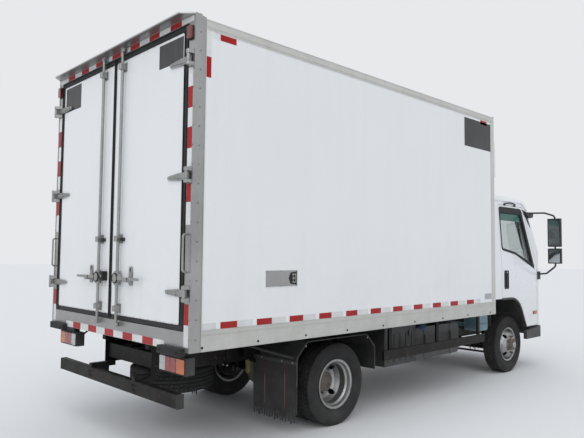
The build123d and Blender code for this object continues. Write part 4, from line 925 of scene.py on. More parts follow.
def tyreRing():
    # Radius over angle and width: a flat crown with round shoulders, less a groove where the width is near
    # one of the grooves, less a cross cut where the angle falls in the cut's share of a block's pitch
    half, columns = tread["half"], tread["columns"]
    across = np.concatenate([
        [-0.072, -0.090, -0.1035, -0.111, -half, -0.1115, -0.107, -0.1035, -0.0985, -0.091, -0.0845],
        np.linspace(-0.0800, 0.0800, columns),
        [0.0845, 0.091, 0.0985, 0.1035, 0.107, 0.1115, half, 0.111, 0.1035, 0.090, 0.072],
    ])
    side = [tread["bead"], 0.2583, 0.2863, 0.302, 0.318, 0.339, 0.352, 0.361, 0.372, 0.385, 0.3903]
    radius = np.concatenate([side, np.full(columns, tread["radius"]), side[::-1]])
    edge, count = len(side), len(across)
    turn = np.arange(tread["turns"]) * 2 * math.pi / tread["turns"]
    phase = turn[:, None] * tread["blocks"] / (2 * math.pi) + tread["lean"] * np.abs(across)[None, :] / half
    phase = phase % 1.0
    onCrown = np.zeros(count, bool)
    onCrown[edge:-edge] = True
    shoulder = np.zeros(count, bool)
    shoulder[edge - 4:edge] = shoulder[-edge:-edge + 4] = True
    grooves = np.zeros(count)
    for middle in tread["grooves"]:
        near = np.abs(across - middle) < tread["grooveHalf"]
        grooves = np.maximum(grooves, near * tread["grooveDepth"])
    cut = (phase < tread["cutShare"]) * tread["cutDepth"]
    rib = np.abs(across) < tread["rib"]
    lowered = np.where(onCrown & ~rib, np.maximum(cut, grooves), np.where(onCrown, grooves, 0.0))
    lowered = np.where(shoulder, cut * 0.9, lowered)
    flank = (np.abs(across) > 0.106) & (radius > 0.33)
    shape = radius[None, :] - (lowered + np.where(flank, (phase < 0.5) * tread["flankDepth"], 0.0))
    points = np.zeros((len(turn), count, 3))
    points[..., 0] = across
    points[..., 1] = shape * np.cos(turn)[:, None]
    points[..., 2] = shape * np.sin(turn)[:, None]
    return points.reshape(-1, 3), skin(len(turn), count)


def sideRings():  # fine raised rings on both flanks
    spots = ((0.248, 0.0852), (0.262, 0.0920), (0.300, 0.1098), (0.330, 0.1117))
    return bothSides([lathe([(x - 0.002, radius - 0.003), (x + 0.0012, radius - 0.0012),
                             (x + 0.0012, radius + 0.0012),
                             (x - 0.002, radius + 0.003)], (0, 0, 0), 0, 96) for radius, x in spots])


tyre = join(tyreRing(), sideRings())
steerX, frontAhead, rearAhead, axleZ = 0.8325, 5.643, 1.843, 0.3915
twinOut, twinIn = 0.9495, 0.6955
spareAhead, spareZ = 0.66, 0.488


def putTyres(name, body, node, *parts):  # tyres in place of a CAD node
    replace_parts(piece(name, body, "tyre", coat("tyreRubber", *parts), smooth=28), node)


for side, sign in (("left", 1), ("right", -1)):
    putTyres("frontTyreTread" + side.capitalize(), "front_wheel_" + side, "front_tyre_" + side,
             copies(tyre, (sign * steerX, yAt(frontAhead), axleZ)))
    putTyres("rearTyreTreads" + side.capitalize(), "rear_wheels_" + side, "rear_tyres_" + side,
             [copies(tyre, (sign * x, yAt(rearAhead), axleZ)) for x in (twinOut, twinIn)])
flat = tyre[0][:, [2, 1, 0]] * np.array([1.0, 1, -1]) + np.array([0, yAt(spareAhead), spareZ])
putTyres("spareTyreTread", "chassis", "spare_tyre", (flat, tyre[1]))

studs = {"circle": 0.111, "count": 6, "nut": 0.0165, "stud": 0.0095}


def turned(face, profile, segments):  # solid of revolution about the axle, from distances outside a face
    return lathe([(face + x, radius) for x, radius in profile], (0, 0, 0), 0, segments, closed=False)


def wheelNuts(face, length, reach):  # nuts on a stud circle, standing out along +x from a face
    nut = carry(disc(studs["nut"], 6), [(face, 0, 0), (face + length, 0, 0)], (0, 0.1, 1))
    cone = turned(face, [(0, 0), (0, 0.021), (0.006, 0.0175), (0.006, 0)], 18)
    stud = [(0, 0), (0, studs["stud"]), (reach - 0.002, studs["stud"]), (reach, 0.0075), (reach, 0)]
    stud = turned(face, stud, 14)
    turns = np.arange(studs["count"]) * 2 * math.pi / studs["count"] + math.radians(30)
    places = [np.zeros(studs["count"]), studs["circle"] * np.cos(turns), studs["circle"] * np.sin(turns)]
    return copies(join(nut, cone, stud), np.stack(places, 1))


def rimRing(spots):  # raised ring on the rim, from its four corners
    return lathe(spots, (0, 0, 0), 0, 96)


def valve(face, radius):
    stem = [(face, 0, radius), (face + 0.02, 0, radius - 0.004), (face + 0.045, 0, radius - 0.018)]
    cap = bar((face + 0.042, 0, radius - 0.0168), (face + 0.055, 0, radius - 0.0222), 0.0052, 12)
    return join(tube(stem, 0.0038, 0.01), cap)


def hubBolts(x, radius, size, height, step):  # ring of bolts about the axle, step degrees apart
    return around(bolt((x, 0, radius), (1, 0, 0), size, height), np.zeros(3), 0, range(0, 360, step))


def onAxle(ahead, finish, *parts):
    return coat(finish, copies(join(*parts), (0, yAt(ahead), axleZ)))


frontNuts = (
    onAxle(frontAhead, "rustyNut", wheelNuts(0.9595, 0.024, 0.036)),
    onAxle(frontAhead, "rustyNut",
           turned(0.9935, [(0.0, 0.079), (0.002, 0.074), (0.004, 0.060), (0.0045, 0.048)], 40),
           hubBolts(0.9935, 0.063, 0.009, 0.007, 60)),
    onAxle(frontAhead, "rimPaint",
           turned(1.0115, [(0.0, 0.046), (0.006, 0.044), (0.0095, 0.034), (0.0105, 0.0)], 40),
           rimRing([(0.9165, 0.2340), (0.9195, 0.2375), (0.9225, 0.2340), (0.9195, 0.2325)])),
    onAxle(frontAhead, "softRubber", valve(0.905, 0.196)),
)
axleEnd = [(0.0, 0.095), (0.003, 0.090), (0.004, 0.060), (0.010, 0.052), (0.012, 0.0)]
rearNuts = (
    onAxle(rearAhead, "rustyNut", wheelNuts(0.8315, 0.026, 0.045), hubBolts(0.8965, 0.077, 0.010, 0.008, 45)),
    onAxle(rearAhead, "castIron", turned(0.8965, axleEnd, 40)),
    onAxle(rearAhead, "rimPaint",
           rimRing([(1.0335, 0.2340), (1.0360, 0.2375), (1.0385, 0.2340), (1.0360, 0.2325)]),
           rimRing([(1.0130, 0.2125), (1.0170, 0.2165), (1.0200, 0.2135), (1.0165, 0.2105)])),
    onAxle(rearAhead, "zinc", valve(0.900, 0.150)),
)
for side in ("left", "right"):
    onOne(side, "frontWheelNuts", "front_wheel_", "rim_grey", *frontNuts, bevel=0.0008)
    onOne(side, "rearWheelNuts", "rear_wheels_", "rim_grey", *rearNuts, bevel=0.0008)
print("tyres and wheel nuts are on")


# Outside of the cab

cabForm = {"half": 1.030, "belt": 1.5, "lean": 0.0699}


def onSide(spots, out):  # (ahead, height) on the cab's side, which is upright to the belt and then leans in
    spots = np.array(spots, float)
    lean = cabForm["lean"] * np.maximum(spots[:, 1] - cabForm["belt"], 0)
    return np.stack([cabForm["half"] - lean + out, yAt(spots[:, 0]), spots[:, 1]], 1)


def onNose(spots, out):  # (x, height) on the nose: the nearer of the raked side line and the bowed plan line
    x, z = np.array(spots, float).T
    raked = np.interp(z, [0.6, 0.9, 1.48, 2.42], [6.69, 6.70, 6.56, 6.15])
    plan = np.interp(np.abs(x), [0, 0.1, 0.2, 0.3, 0.412, 0.797, 0.832, 0.862, 1.0],
                     [6.6815, 6.6801, 6.6759, 6.6690, 6.6579, 6.6137, 6.6055, 6.5925, 6.5165])
    return np.stack([x, yAt(np.minimum(raked, plan)) - out, z], 1)


def split(outline, parts=8):  # the same outline with each edge cut into equal parts, to follow a bowed form
    steps = np.arange(parts)[None, :, None] / parts
    return (outline[:, None] * (1 - steps) + np.roll(outline, -1, 0)[:, None] * steps).reshape(-1, 2)


def sheetOn(form, outline, lift, thick, hole=None):
    # Plate laid on a form, with an optional hole of as many points
    rims = [np.array(rim, float) for rim in (outline, hole) if rim is not None]
    layers = [form(rim, out) for rim in rims for out in (lift, lift + thick)]
    count = len(outline)
    if hole is None:
        return np.concatenate(layers), bands(count, (0, 1)) + lids(count)
    return np.concatenate(layers), bands(count, (0, 1), (1, 3), (3, 2), (2, 0))


sash = {
    "hole": [(5.327, 1.751), (5.327, 2.262), (5.965, 2.262), (6.224, 1.526), (5.703, 1.695)],
    "outside": [(5.300, 1.731), (5.300, 2.342), (5.993, 2.342), (6.302, 1.452), (5.695, 1.672)],
    "inside": [(5.334, 1.758), (5.334, 2.254), (5.958, 2.254), (6.212, 1.540), (5.705, 1.704)],
    "sill": [(5.322, 1.728), (5.330, 1.748), (5.700, 1.692), (6.230, 1.523), (6.226, 1.505), (5.694, 1.672)],
    "tint": [(5.336, 2.150), (5.336, 2.262), (5.966, 2.262), (6.004, 2.150)],
}


def makeSash():
    hole = rounded(sash["hole"], 0.04, 6)
    ring = sheetOn(onSide, rounded(sash["outside"], 0.05, 6), 0.0002, 0.0022, hole)
    run = sheetOn(onSide, hole, -0.0198, 0.0200, rounded(sash["inside"], 0.036, 6))
    sill = sheetOn(onSide, rounded(sash["sill"], 0.004, 3), 0.0024, 0.004)
    onEach("doorSash", "door_", "rubber", coat("softRubber", ring, run, sill),
           coat("greenBand", sheetOn(onSide, sash["tint"], -0.0195, 0.0010)))


def makeDoorHandle():
    pocket = oblong((5.342, 5.464), (1.194, 1.438), 0.02, 5)
    tray = sheetOn(onSide, pocket, -0.0118, 0.0014)
    frame = sheetOn(onSide, oblong((5.335, 5.471), (1.187, 1.445), 0.022, 5), 0.0001, 0.0022, pocket)
    wall = sheetOn(onSide, pocket, -0.0118, 0.0120, pocket * 0.975 + pocket.mean(0) * 0.025)
    route = at((1.018, 5.405, 1.405), (1.036, 5.405, 1.385), (1.036, 5.405, 1.235), (1.018, 5.405, 1.215))
    grip = carry(oblong((-0.013, 0.013), (-0.006, 0.006), 0.004, 4), smoothPath(route, 0.02, 5), (1, 0.1, 0))
    lock = bar(*at((1.018, 5.437, 1.418), (1.0262, 5.437, 1.418)), 0.010, 20)
    # the key slot is a thin black block on the lock's face: painted shade for the slot
    keySlotShade = block((1.0262, 1.0266), (5.4358, 5.4382), (1.411, 1.425))
    onEach("doorHandle", "door_", "cab_white", coat("blackPlastic", tray, frame, wall, grip),
           coat("chrome", lock), coat("softRubber", keySlotShade), bevel=0.0006)


def archPath(points, x, bend):
    return smoothPath(at(*[(x, ahead, height) for ahead, height in points]), bend, 9)


def makeArches():
    # Black liner over the steered wheel, the raked wall ahead of it, and the lip around the opening
    radius, steps = 0.4955, 12
    turn = np.radians(np.linspace(61, 27.5, steps))
    arc = [np.full(steps, 0.788), yAt(frontAhead + radius * np.cos(turn)), axleZ + radius * np.sin(turn)]
    start = archPath([(5.056, 1.0525), (5.757, 1.0525), (5.879, 0.833)], 0.788, 0.10)
    liner = carry(oblong((-0.003, 0), (-0.186, 0.186)), np.concatenate([start[:-1], np.stack(arc, 1)]),
                  (1, 0, 0))
    lip = oblong((-0.016, 0.012), (-0.001, 0.007), 0.003, 3)
    route = archPath([(5.274, 1.0535), (5.757, 1.0535), (5.996, 0.622)], 1.002, 0.23)
    meeting = int(np.argmax(route[:, 2] < 0.960))
    high, low = route[:meeting + 1], route[meeting:]
    curve = np.stack([yAt(0) - route[:, 1], route[:, 2]], 1)
    meet = [(5.8135, curve[meeting, 1])]
    above = np.concatenate([curve[1:meeting + 1], meet, [(5.758, 1.0545)]])
    upper = sheetOn(onSide, above, -0.0045, 0.0048)
    lower = sheetOn(onSide, np.concatenate([curve[meeting:-1], meet]), -0.0045, 0.0048)
    strip = [carry(oblong((-0.004, 0), (-0.026, 0.026)), path, (1, 0, 0)) for path in (low, high)]
    beads = [carry(lip, path + np.array([0.0295, 0, 0]), (1, 0, 0)) for path in (low, high)]
    splash = block((0.604, 0.968), (5.047, 5.0495), (0.70, 1.05))
    clips = [upright(x, 5.05 + a, 1.0495, 1.0455, 0.009, 14) for x in (0.66, 0.92) for a in (0.15, 0.42)]
    piece("archLiners", "cab", "plastic_black", pair("blackPlastic", liner, strip[0], beads[0], splash),
          pair("softRubber", clips), pair("cabPaint", lower))
    onEach("doorArchLip", "door_", "cab_white", coat("blackPlastic", strip[1], beads[1]),
           coat("cabPaint", upper))
    gapLine = onSide([(5.2705, 1.062), (5.2705, 1.5), (5.2705, 2.3675), (6.037, 2.3675), (6.3705, 1.478),
                      (6.3705, 0.6245), (5.9025, 0.6245), (5.9025, 0.95)], -0.0075)
    seal = carry(oblong((-0.0024, 0.0024), (-0.006, 0.006)), smoothPath(gapLine, 0.05, 6), (1, 0, 0))
    piece("doorSeals", "cab", "rubber", pair("softRubber", seal))


def makeSideLamps():
    low, high = (0.792, 0.830), (1.0302, 1.0385)
    base = sheetOn(onSide, oblong((6.222, 6.358), (0.788, 0.834), 0.006, 4), 0.0001, 0.003)
    onEach("sideIndicator", "door_", "lamp", coat("softRubber", base),
           coat("redLens", block(high, (6.226, 6.288), low)),
           coat("amberLens", block(high, (6.290, 6.354), low)), bevel=0.002)


def makeRoofRail():
    # Black rail with two feet above each door, and the black cover over the mirror arm's root
    route = at((0.963, 5.475, 2.374), (0.990, 5.478, 2.392), (0.996, 5.63, 2.410), (0.990, 5.784, 2.392),
               (0.963, 5.787, 2.374))
    feet = [[(a - 0.032, 2.366), (a + 0.032, 2.366), (a + 0.024, 2.384), (a - 0.024, 2.384)]
            for a in (5.475, 5.787)]
    feet = [sheetOn(onSide, rounded(foot, 0.006, 3), 0.0002, 0.010) for foot in feet]
    cover = [(6.020, 2.338), (6.150, 2.312), (6.262, 2.070), (6.185, 2.150)]
    piece("roofRails", "cab", "plastic_black", pair("softRubber", tube(route, 0.0095, 0.05, 12), feet),
          pair("blackPlastic", sheetOn(onSide, rounded(cover, 0.01, 4), 0.0003, 0.004)))


mirror = {"face": 6.396, "back": 6.486, "heights": ((1.790, 2.210), (1.540, 1.765))}


def onMirror(spots, out):  # (x, height) on the mirror's upright face
    return np.insert(spots, 1, yAt(mirror["face"] - out), axis=1)


def makeMirrorGlass():
    glass, frames, clamps = [], [], []
    for low, high in mirror["heights"]:
        rim = oblong((1.196, 1.380), (low + 0.007, high - 0.007), 0.022, 6)
        pane = oblong((1.205, 1.371), (low + 0.016, high - 0.016), 0.016, 6)
        glass.append(sheetOn(onMirror, pane, 0, 0.0015))
        frames.append(sheetOn(onMirror, rim, 0, 0.006, pane))
        for z in (low + 0.06, high - 0.06):
            spots = at((1.278, mirror["back"], z), (1.302, mirror["back"], z))
            clamps += [block((1.268, 1.312), (6.4775, mirror["back"]), (z - 0.018, z + 0.018)),
                       bolts(spots, (0, -1, 0), 0.008, 0.004)]
    piece("mirrorFaces", "cab", "plastic_black", pair("mirrorGlass", glass), pair("softRubber", frames),
          pair("blackPlastic", clamps))


def tapered(wide, narrow, height, radius, steps):
    # Outline about the middle, from half its width below to above
    low, high = height
    return rounded([(-wide, low), (wide, low), (narrow, high), (-narrow, high)], radius, steps)


def makeWipers():  # arms and blades
    arms, blades = [], []
    for pivot, tip in ((0.66, 0.10), (0.02, -0.54)):
        root = onNose([(pivot, 1.462)], 0.012)[0]
        end = onNose([(tip, 1.630)], 0.016)[0]
        raised = np.array([0, -0.012, 0])
        arms.append(bar(root, root + raised * 1.5, 0.017, 18))
        arms.append(tube([root + raised, (root * 0.7 + end * 0.3) + raised, end], 0.0055, 0.05, 10))
        ends = onNose([(tip - 0.27, 1.560), (tip + 0.27, 1.700)], 0.004)
        blades.append(carry([(-0.004, -0.004), (0.004, -0.004), (0.0015, 0.010), (-0.0015, 0.010)],
                            ends, (0, 0.3, 1)))
    return arms, blades


def makeGrille():  # mesh of wires on a black sheet behind the opening, the sheet painted shade for the space behind the grille, and the opening's edge
    columns, rows = 25, 6
    spots = np.meshgrid(np.linspace(-0.495, 0.495, columns), np.linspace(0.838, 1.038, rows), indexing="ij")
    spots = np.stack([spots[0].ravel(), spots[1].ravel()], 1)
    grid = np.arange(columns * rows).reshape(columns, rows)
    quads = np.stack([grid[:-1, :-1], grid[1:, :-1], grid[1:, 1:], grid[:-1, 1:]], -1).reshape(-1, 4)
    faces = quads.tolist() + (quads[:, ::-1] + columns * rows).tolist()
    # the black sheet behind the wires is painted shade for the dark space behind the grille
    mesh = np.concatenate([onNose(spots, -0.0135), onNose(spots, -0.0125)]), faces
    wires = [sheetOn(onNose, oblong((x, x + 0.003), (0.84, 1.035)), -0.0125, 0.002)
             for x in np.arange(-0.44, 0.45, 0.02)]
    edge = sheetOn(onNose, split(tapered(0.512, 0.460, (0.825, 1.050), 0.03, 5)), 0.0002, 0.004,
                   split(tapered(0.498, 0.449, (0.837, 1.039), 0.024, 5)))
    return [mesh, wires, edge]


def aboutLamp(face, profile, spot, segments, closed=True):
    # Turned about a lamp's middle, from depths behind its face
    return lathe([(face + deep, radius) for deep, radius in profile], spot, 1, segments, closed)


def makeFrontTrim():
    # Screen surround, wipers, scuttle louvres, grille, lamp bowls and the bumper's lamps
    hole = tapered(0.812, 0.756, (1.520, 2.332), 0.05, 6)
    rubber = [sheetOn(onNose, tapered(0.846, 0.786, (1.490, 2.366), 0.06, 6), 0.0002, 0.003, hole),
              sheetOn(onNose, hole, -0.0195, 0.0200, tapered(0.800, 0.745, (1.534, 2.318), 0.045, 6))]
    arms, blades = makeWipers()
    louvre = sheetOn(onNose, tapered(0.862, 0.842, (1.414, 1.472), 0.015, 4), -0.0085, 0.0015)
    slats = [sheetOn(onNose, oblong((x, x + 0.008), (1.418, 1.468)), -0.007, 0.005)
             for x in np.arange(-0.83, 0.83, 0.033)]
    bowls, bulbs = [], []
    for x in (0.702, 0.836):
        face, spot = onNose([(x, 0.78)], 0)[0][1], (x, 0, 0.78)
        bowl = [(0.0125, 0.010), (0.0115, 0.030), (0.006, 0.056), (0.003, 0.058), (0.013, 0.060)]
        bowls.append(aboutLamp(face, bowl, spot, 40))
        bulbs.append(aboutLamp(face, [(0.0125, 0.0), (0.0125, 0.010), (0.004, 0.009), (0.003, 0.0)],
                               spot, 20, False))
    piece("frontTrim", "cab", "plastic_black", coat("softRubber", rubber, blades),
          coat("blackPlastic", arms, louvre, slats, makeGrille()),
          pair("chrome", bowls), pair("clearLens", bulbs))
    middle = (0.70, 0, 0.52)
    lens = [(yAt(a), radius)
            for a, radius in ((6.694, 0.0), (6.692, 0.030), (6.684, 0.046), (6.672, 0.046), (6.672, 0.0))]
    ring = [(yAt(a), radius)
            for a, radius in ((6.694, 0.0472), (6.700, 0.0505), (6.694, 0.054), (6.685, 0.0505))]
    piece("bumperLamps", "chassis", "lamp", pair("amberLens", lathe(lens, middle, 1, 40, closed=False)),
          pair("softRubber", lathe(ring, middle, 1, 40)))


makeSash()
makeDoorHandle()
makeArches()
makeSideLamps()
makeRoofRail()
makeMirrorGlass()
makeFrontTrim()
print("cab is trimmed")


# Chassis fittings

flap = {"across": (0.470, 1.058), "rear": 1.283, "top": 0.66,
        "notch": 0.225, "tips": (0.112, 0.120), "teeth": 16}


def makeFlaps():
    # Rubber flap behind the twin wheels, its lower edge cut into strips, with red stripes, clamp and stays
    low, high = flap["across"]
    pitch = (high - low) / flap["teeth"]
    outline = [(low, flap["top"])]
    for n in range(flap["teeth"]):
        tip, start = flap["tips"][n % 2] + 0.005 * math.sin(2.1 * n), low + n * pitch
        outline += [(start, flap["notch"]), (start + pitch * 0.30, tip), (start + pitch * 0.62, tip + 0.003)]
    outline += [(high, flap["notch"]), (high, flap["top"])]
    face = yAt(flap["rear"]) + 0.0062
    sheet = prism(outline, 1, yAt(flap["rear"]) + 0.0002, face)
    stripes = [boxes([x, face, 0.235], [x + 0.012, face + 0.0006, 0.638]) for x in (0.632, 0.908)]
    clamp = boxes([low - 0.004, face, 0.640], [high + 0.002, face + 0.005, 0.672])
    spots = [(x, face + 0.005, 0.656) for x in (0.60, 0.88, 1.02)]
    stay = [bar(*at((0.43, start, 0.80), (1.04, end, z)), 0.011, 12) for start, end, z in (
        (1.06, 1.262, 0.705), (2.62, 2.425, 0.70))]
    stops = [(0.475, 0.0), (0.477, 0.022), (0.50, 0.030), (0.54, 0.026),
             (0.58, 0.033), (0.612, 0.036), (0.614, 0.0)]
    route = ((1.283, 0.45), (1.283, 0.70), (1.413, 0.838), (2.274, 0.838), (2.404, 0.70), (2.404, 0.475))
    lip = tube(at(*[(1.066, a, z) for a, z in route]), 0.006, 0.03, 8, (1, 0.1, 0))
    heads = bolts(at((1.062, 1.40, 0.80), (1.062, 2.29, 0.80)), (1, 0, 0), 0.010, 0.006)
    piece("flapStrips", "chassis", "plastic_black", pair("softRubber", sheet),
          pair("blackPlastic", clamp, stay, lip), pair("darkRedLamp", stripes),
          pair("oliveRubber", lathe(stops, *at((0.40, 1.27, 0)), 2, 24, closed=False)),
          pair("zinc", bolts(spots, (0, 1, 0), 0.012, 0.006), heads))


def makeFrameDetail():
    # Rivet heads along the side members, brake and fuel pipes in clips, a wiring harness and body clamps
    heads = at(*[(0.425, a, z) for z in (0.645, 0.785) for a in np.arange(0.25, 5.0, 0.11)])
    rivet = lathe([(0.0, 0.0), (0.0, 0.009), (0.004, 0.0075), (0.0065, 0.0)], (0, 0, 0), 0, 12, closed=False)
    pipes = [tube(at((0.355, 0.42 + 0.05 * n, z), (0.355, 2.0, z), (0.352, 2.2, z + 0.006), (0.355, 4.9, z)),
                  0.0045, 0.05, 8) for n, z in enumerate((0.700, 0.712, 0.724))]
    harness = tube(at((0.350, 0.34, 0.752), (0.352, 1.6, 0.748), (0.348, 3.1, 0.755), (0.352, 4.95, 0.750)),
                   0.012, 0.1, 12)
    clips = [block((0.342, 0.368), (a, a + 0.018), (0.692, 0.766)) for a in np.arange(0.6, 4.9, 0.45)]
    clamps, threads = [], []
    for a in (0.98, 1.92, 2.36, 3.24, 4.12):
        clamps += [upright(x, a, 0.598, 0.905, 0.0075, 12) for x in (0.372, 0.433)]
        clamps.append(block((0.358, 0.447), (a - 0.02, a + 0.02), (0.596, 0.606)))
        threads += [upright(x, a, 0.583, 0.597, 0.012, 6) for x in (0.372, 0.433)]
    piece("frameFittings", "chassis", "frame_black", pair("chassisBlack", copies(rivet, heads), clamps),
          coat("zinc", pipes), coat("softRubber", harness, clips), pair("zinc", threads))


def makeTankDetail():
    # Filler cap, strap tensioners, sender and hoses of the fuel tank, and the lid latches of the battery box
    centre, out = np.array([-0.965, yAt(3.40), 0.81]), np.array([-0.832, 0, 0.555])
    cap = [carry(section, [centre + out * low, centre + out * high], (0, 1, 0)) for section, low, high in (
        (disc(0.047, 28), -0.006, 0.020), (disc(0.038, 28), 0.020, 0.030),
        (oblong((-0.008, 0.008), (-0.034, 0.034)), 0.030, 0.040))]
    strap = []
    for a in (3.54, 4.10):
        strap.append(upright(-0.928, a, 0.60, 0.70, 0.006, 10))
        strap += [block((-0.936, -0.922), (a - 0.014, a + 0.014), (z, z + 0.016)) for z in (0.596, 0.688)]
    ends = [prism([(yAt(a), 0.46), (yAt(a) + s * 0.010, 0.50), (yAt(a) + s * 0.010, 0.73), (yAt(a), 0.77)],
                  0, -0.89, -0.53)
            for a, s in ((3.340, 1), (4.300, -1))]
    sender = [upright(-0.70, 3.85, 0.800, 0.812, 0.036, 24), upright(-0.70, 3.85, 0.812, 0.826, 0.010, 12)]
    hoses = [tube(at(*route), 0.006, 0.05, 8) for route in (
        ((-0.69, 3.87, 0.818), (-0.64, 3.95, 0.85), (-0.47, 4.05, 0.80),
         (-0.435, 4.3, 0.76), (-0.435, 4.9, 0.74)),
        ((-0.71, 3.82, 0.818), (-0.66, 3.70, 0.84), (-0.50, 3.62, 0.79), (-0.435, 3.5, 0.75)))]
    latch = [block((-0.974, -0.966), (a, a + 0.035), (0.745, 0.80)) for a in (2.80, 3.15)]
    latch += [bar(*at((-0.976, a, 0.742), (-0.976, a + 0.035, 0.742)), 0.006, 10) for a in (2.80, 3.15)]
    leads = [tube(at((-0.52, 3.0 + 0.1 * n, 0.745), (-0.47, 3.05 + 0.1 * n, 0.77),
                     (-0.435, 3.3, 0.755 - 0.02 * n)), 0.009, 0.03, 10) for n in range(2)]
    steps = [block((-0.955, -0.53), (a, a + 0.008), (0.850, 0.8535)) for a in np.arange(2.73, 3.27, 0.045)]
    piece("tankFittings", "chassis", "tank_black", coat("tankPaint", ends, strap, latch),
          coat("blueCap", cap), coat("zinc", sender, steps), coat("softRubber", hoses, leads), bevel=0.001)


def makeAxleDetail():
    # U-bolts with their nuts, bump rubbers, differential cover with its bolts, brake hose and brake lines
    nuts, rings = [], []
    for a, middle, z in ((frontAhead, 0.39, 0.295), (rearAhead, 0.468, 0.330)):
        for ahead in (a - 0.048, a + 0.048):
            for x in (middle - 0.0385, middle + 0.0385):
                nuts += [upright(x, ahead, z - 0.028, z + 0.03, 0.008, 10),
                         upright(x, ahead, z - 0.004, z + 0.012, 0.013, 6)]
    pads = [upright(0.468, rearAhead, z, z + 0.018, r, 18)
            for z, r in ((0.560, 0.030), (0.578, 0.025), (0.596, 0.020))]
    radius, count = 0.118, 16
    for turn in [2 * math.pi * n / count for n in range(count)]:
        spot = (radius * math.cos(turn), yAt(rearAhead), axleZ + radius * math.sin(turn))
        rings.append(bolt(spot, (0, 1, 0), 0.010, 0.006))
    cover = [(0.05, 0.135), (0.158, 0.130), (0.175, 0.105), (0.188, 0.06), (0.190, 0.0)]
    cover = lathe([(yAt(rearAhead) + behind, r) for behind, r in cover], (0, 0, axleZ), 1, 36, closed=False)
    hose = at((0.30, 1.92, 0.462), (0.24, 1.86, 0.47), (0.06, 1.80, 0.56),
              (0.05, 1.70, 0.68), (0.20, 1.60, 0.71), (0.352, 1.62, 0.706))
    line = at((0.08, 1.905, 0.455), (0.30, 1.915, 0.458), (0.54, 1.905, 0.455))
    piece("axleFittings", "chassis", "under_grey", pair("castIron", nuts, pads),
          coat("castIron", cover, copies(join(rings), (0, 0.158, 0))),
          coat("softRubber", tube(hose, 0.007, 0.06, 10)), pair("zinc", tube(line, 0.004, 0.03, 8)))
    carrier = [upright(0, spareAhead, 0.36, 0.62, 0.012, 12), upright(0, spareAhead, 0.352, 0.372, 0.03, 6)]
    links = [lathe([(-0.004, 0.010), (0, 0.014), (0.004, 0.010), (0, 0.006)],
                   *at((0, spareAhead, 0.655 + 0.024 * n)), n % 2, 14) for n in range(6)]
    arm = at(*[(x, spareAhead, z) for x, z in ((-0.36, 0.795), (-0.12, 0.80), (0.12, 0.80), (0.36, 0.795))])
    piece("spareCarrier", "chassis", "frame_black",
          coat("chassisBlack", carrier, links, tube(arm, 0.016, 0.06, 12)))


def makeEngineDetail():
    # Pulleys, fan, filter, manifold and sump ribs on the plain engine block
    front = yAt(6.150)

    def turnedAhead(profile, x, z, segments):
        # About the crankshaft's direction, from distances ahead of the block
        return lathe([(front - ahead, radius) for ahead, radius in profile],
                     (x, 0, z), 1, segments, closed=False)

    wheels = []
    for x, z, r in ((0.0, 0.62, 0.085), (0.0, 0.86, 0.075), (0.19, 0.80, 0.038), (-0.19, 0.74, 0.055)):
        pulley = [(0.030, 0.0), (0.030, r), (0.024, r), (0.018, r - 0.008), (0.012, r), (0, r), (0, 0.0)]
        wheels.append(turnedAhead(pulley, x, z, 30))
    hub = np.array([0, front - 0.044, 0.86])
    blade = carry([(-0.004, -0.030), (0.004, -0.024), (0.004, 0.030), (-0.004, 0.024)],
                  [hub + np.array([x, 0, 0]) for x in (0.045, 0.20)], (0, 0.6, 0.8))
    fan = [turnedAhead([(0.050, 0.0), (0.050, 0.05), (0.030, 0.05), (0.030, 0.0)], 0, 0.86, 24),
           around(blade, hub, 1, range(0, 360, 51))]
    ribs = [block((-0.303, 0.303), (5.20 + 0.14 * n, 5.215 + 0.14 * n), (0.47, 0.62)) for n in range(7)]
    cover = [block((-0.20, 0.20), (5.20, 6.08), (1.150, 1.166)), upright(0.1, 5.9, 1.166, 1.19, 0.035, 24)]
    pan = upright(-0.315, 5.5, 0.56, 0.72, 0.045, 28)
    manifold = [tube(at((0.300, 5.30 + 0.2 * n, 0.95), (0.345, 5.30 + 0.2 * n, 0.94),
                        (0.350, 5.26 + 0.16 * n, 0.88)), 0.022, 0.03, 12) for n in range(4)]
    manifold.append(bar(*at((0.350, 5.22, 0.87), (0.350, 5.80, 0.87)), 0.028, 16))
    spots = at(*[(x, a, 1.166) for x in (-0.18, 0.18) for a in np.arange(5.26, 6.1, 0.26)])
    piece("engineFittings", "chassis", "engine_grey", coat("castIron", wheels, fan),
          coat("engineCasting", ribs, cover), coat("tankPaint", pan), coat("hotSteel", manifold),
          coat("zinc", bolts(spots, (0, 0, 1), 0.014, 0.008)), bevel=0.002)
    tank = [upright(-0.86, 4.85, 0.884, 0.892, 0.026, 20),
            block((-0.962, -0.96), (4.735, 4.965), (0.742, 0.748))]
    hose = at((-0.80, 4.95, 0.70), (-0.72, 5.02, 0.72), (-0.50, 5.06, 0.86), (-0.30, 5.12, 0.95))
    piece("reservoirFittings", "chassis", "reservoir", coat("softRubber", tank),
          coat("softRubber", tube(hose, 0.011, 0.06, 10)))


makeFlaps()
makeFrameDetail()
makeTankDetail()
makeAxleDetail()
makeEngineDetail()
print("chassis is fitted out")


# Inside of the cab

seat = {
    "middle": 0.675,
    "voxel": 0.006,
    "pressure": 4.0,
    "stiffness": 40,
    "frames": 20,
    "cap": 0.022,
    "forms": {
        "seatCushion": ([(5.245, 1.155), (5.700, 1.150), (5.712, 1.275), (5.680, 1.322), (5.245, 1.292)],
                        0.205, 0.05),
        "seatBack": ([(5.138, 1.345), (5.236, 1.345), (5.226, 1.745), (5.212, 1.875), (5.150, 1.875)],
                     0.200, 0.035),
        "seatHeadRest": ([(5.152, 1.955), (5.208, 1.955), (5.206, 2.060), (5.158, 2.070)], 0.112, 0.02),
    },
    "seams": (-0.125, 0.125),
    "welt": (0.006, 0.005),
    "channels": (-0.075, -0.025, 0.025, 0.075),
    "fold": (0.009, 0.006),
}


def pointsOf(mesh, name="co"):
    values = np.zeros(len(mesh.vertices) * 3)
    mesh.vertices.foreach_get(name, values)
    return values.reshape(-1, 3)


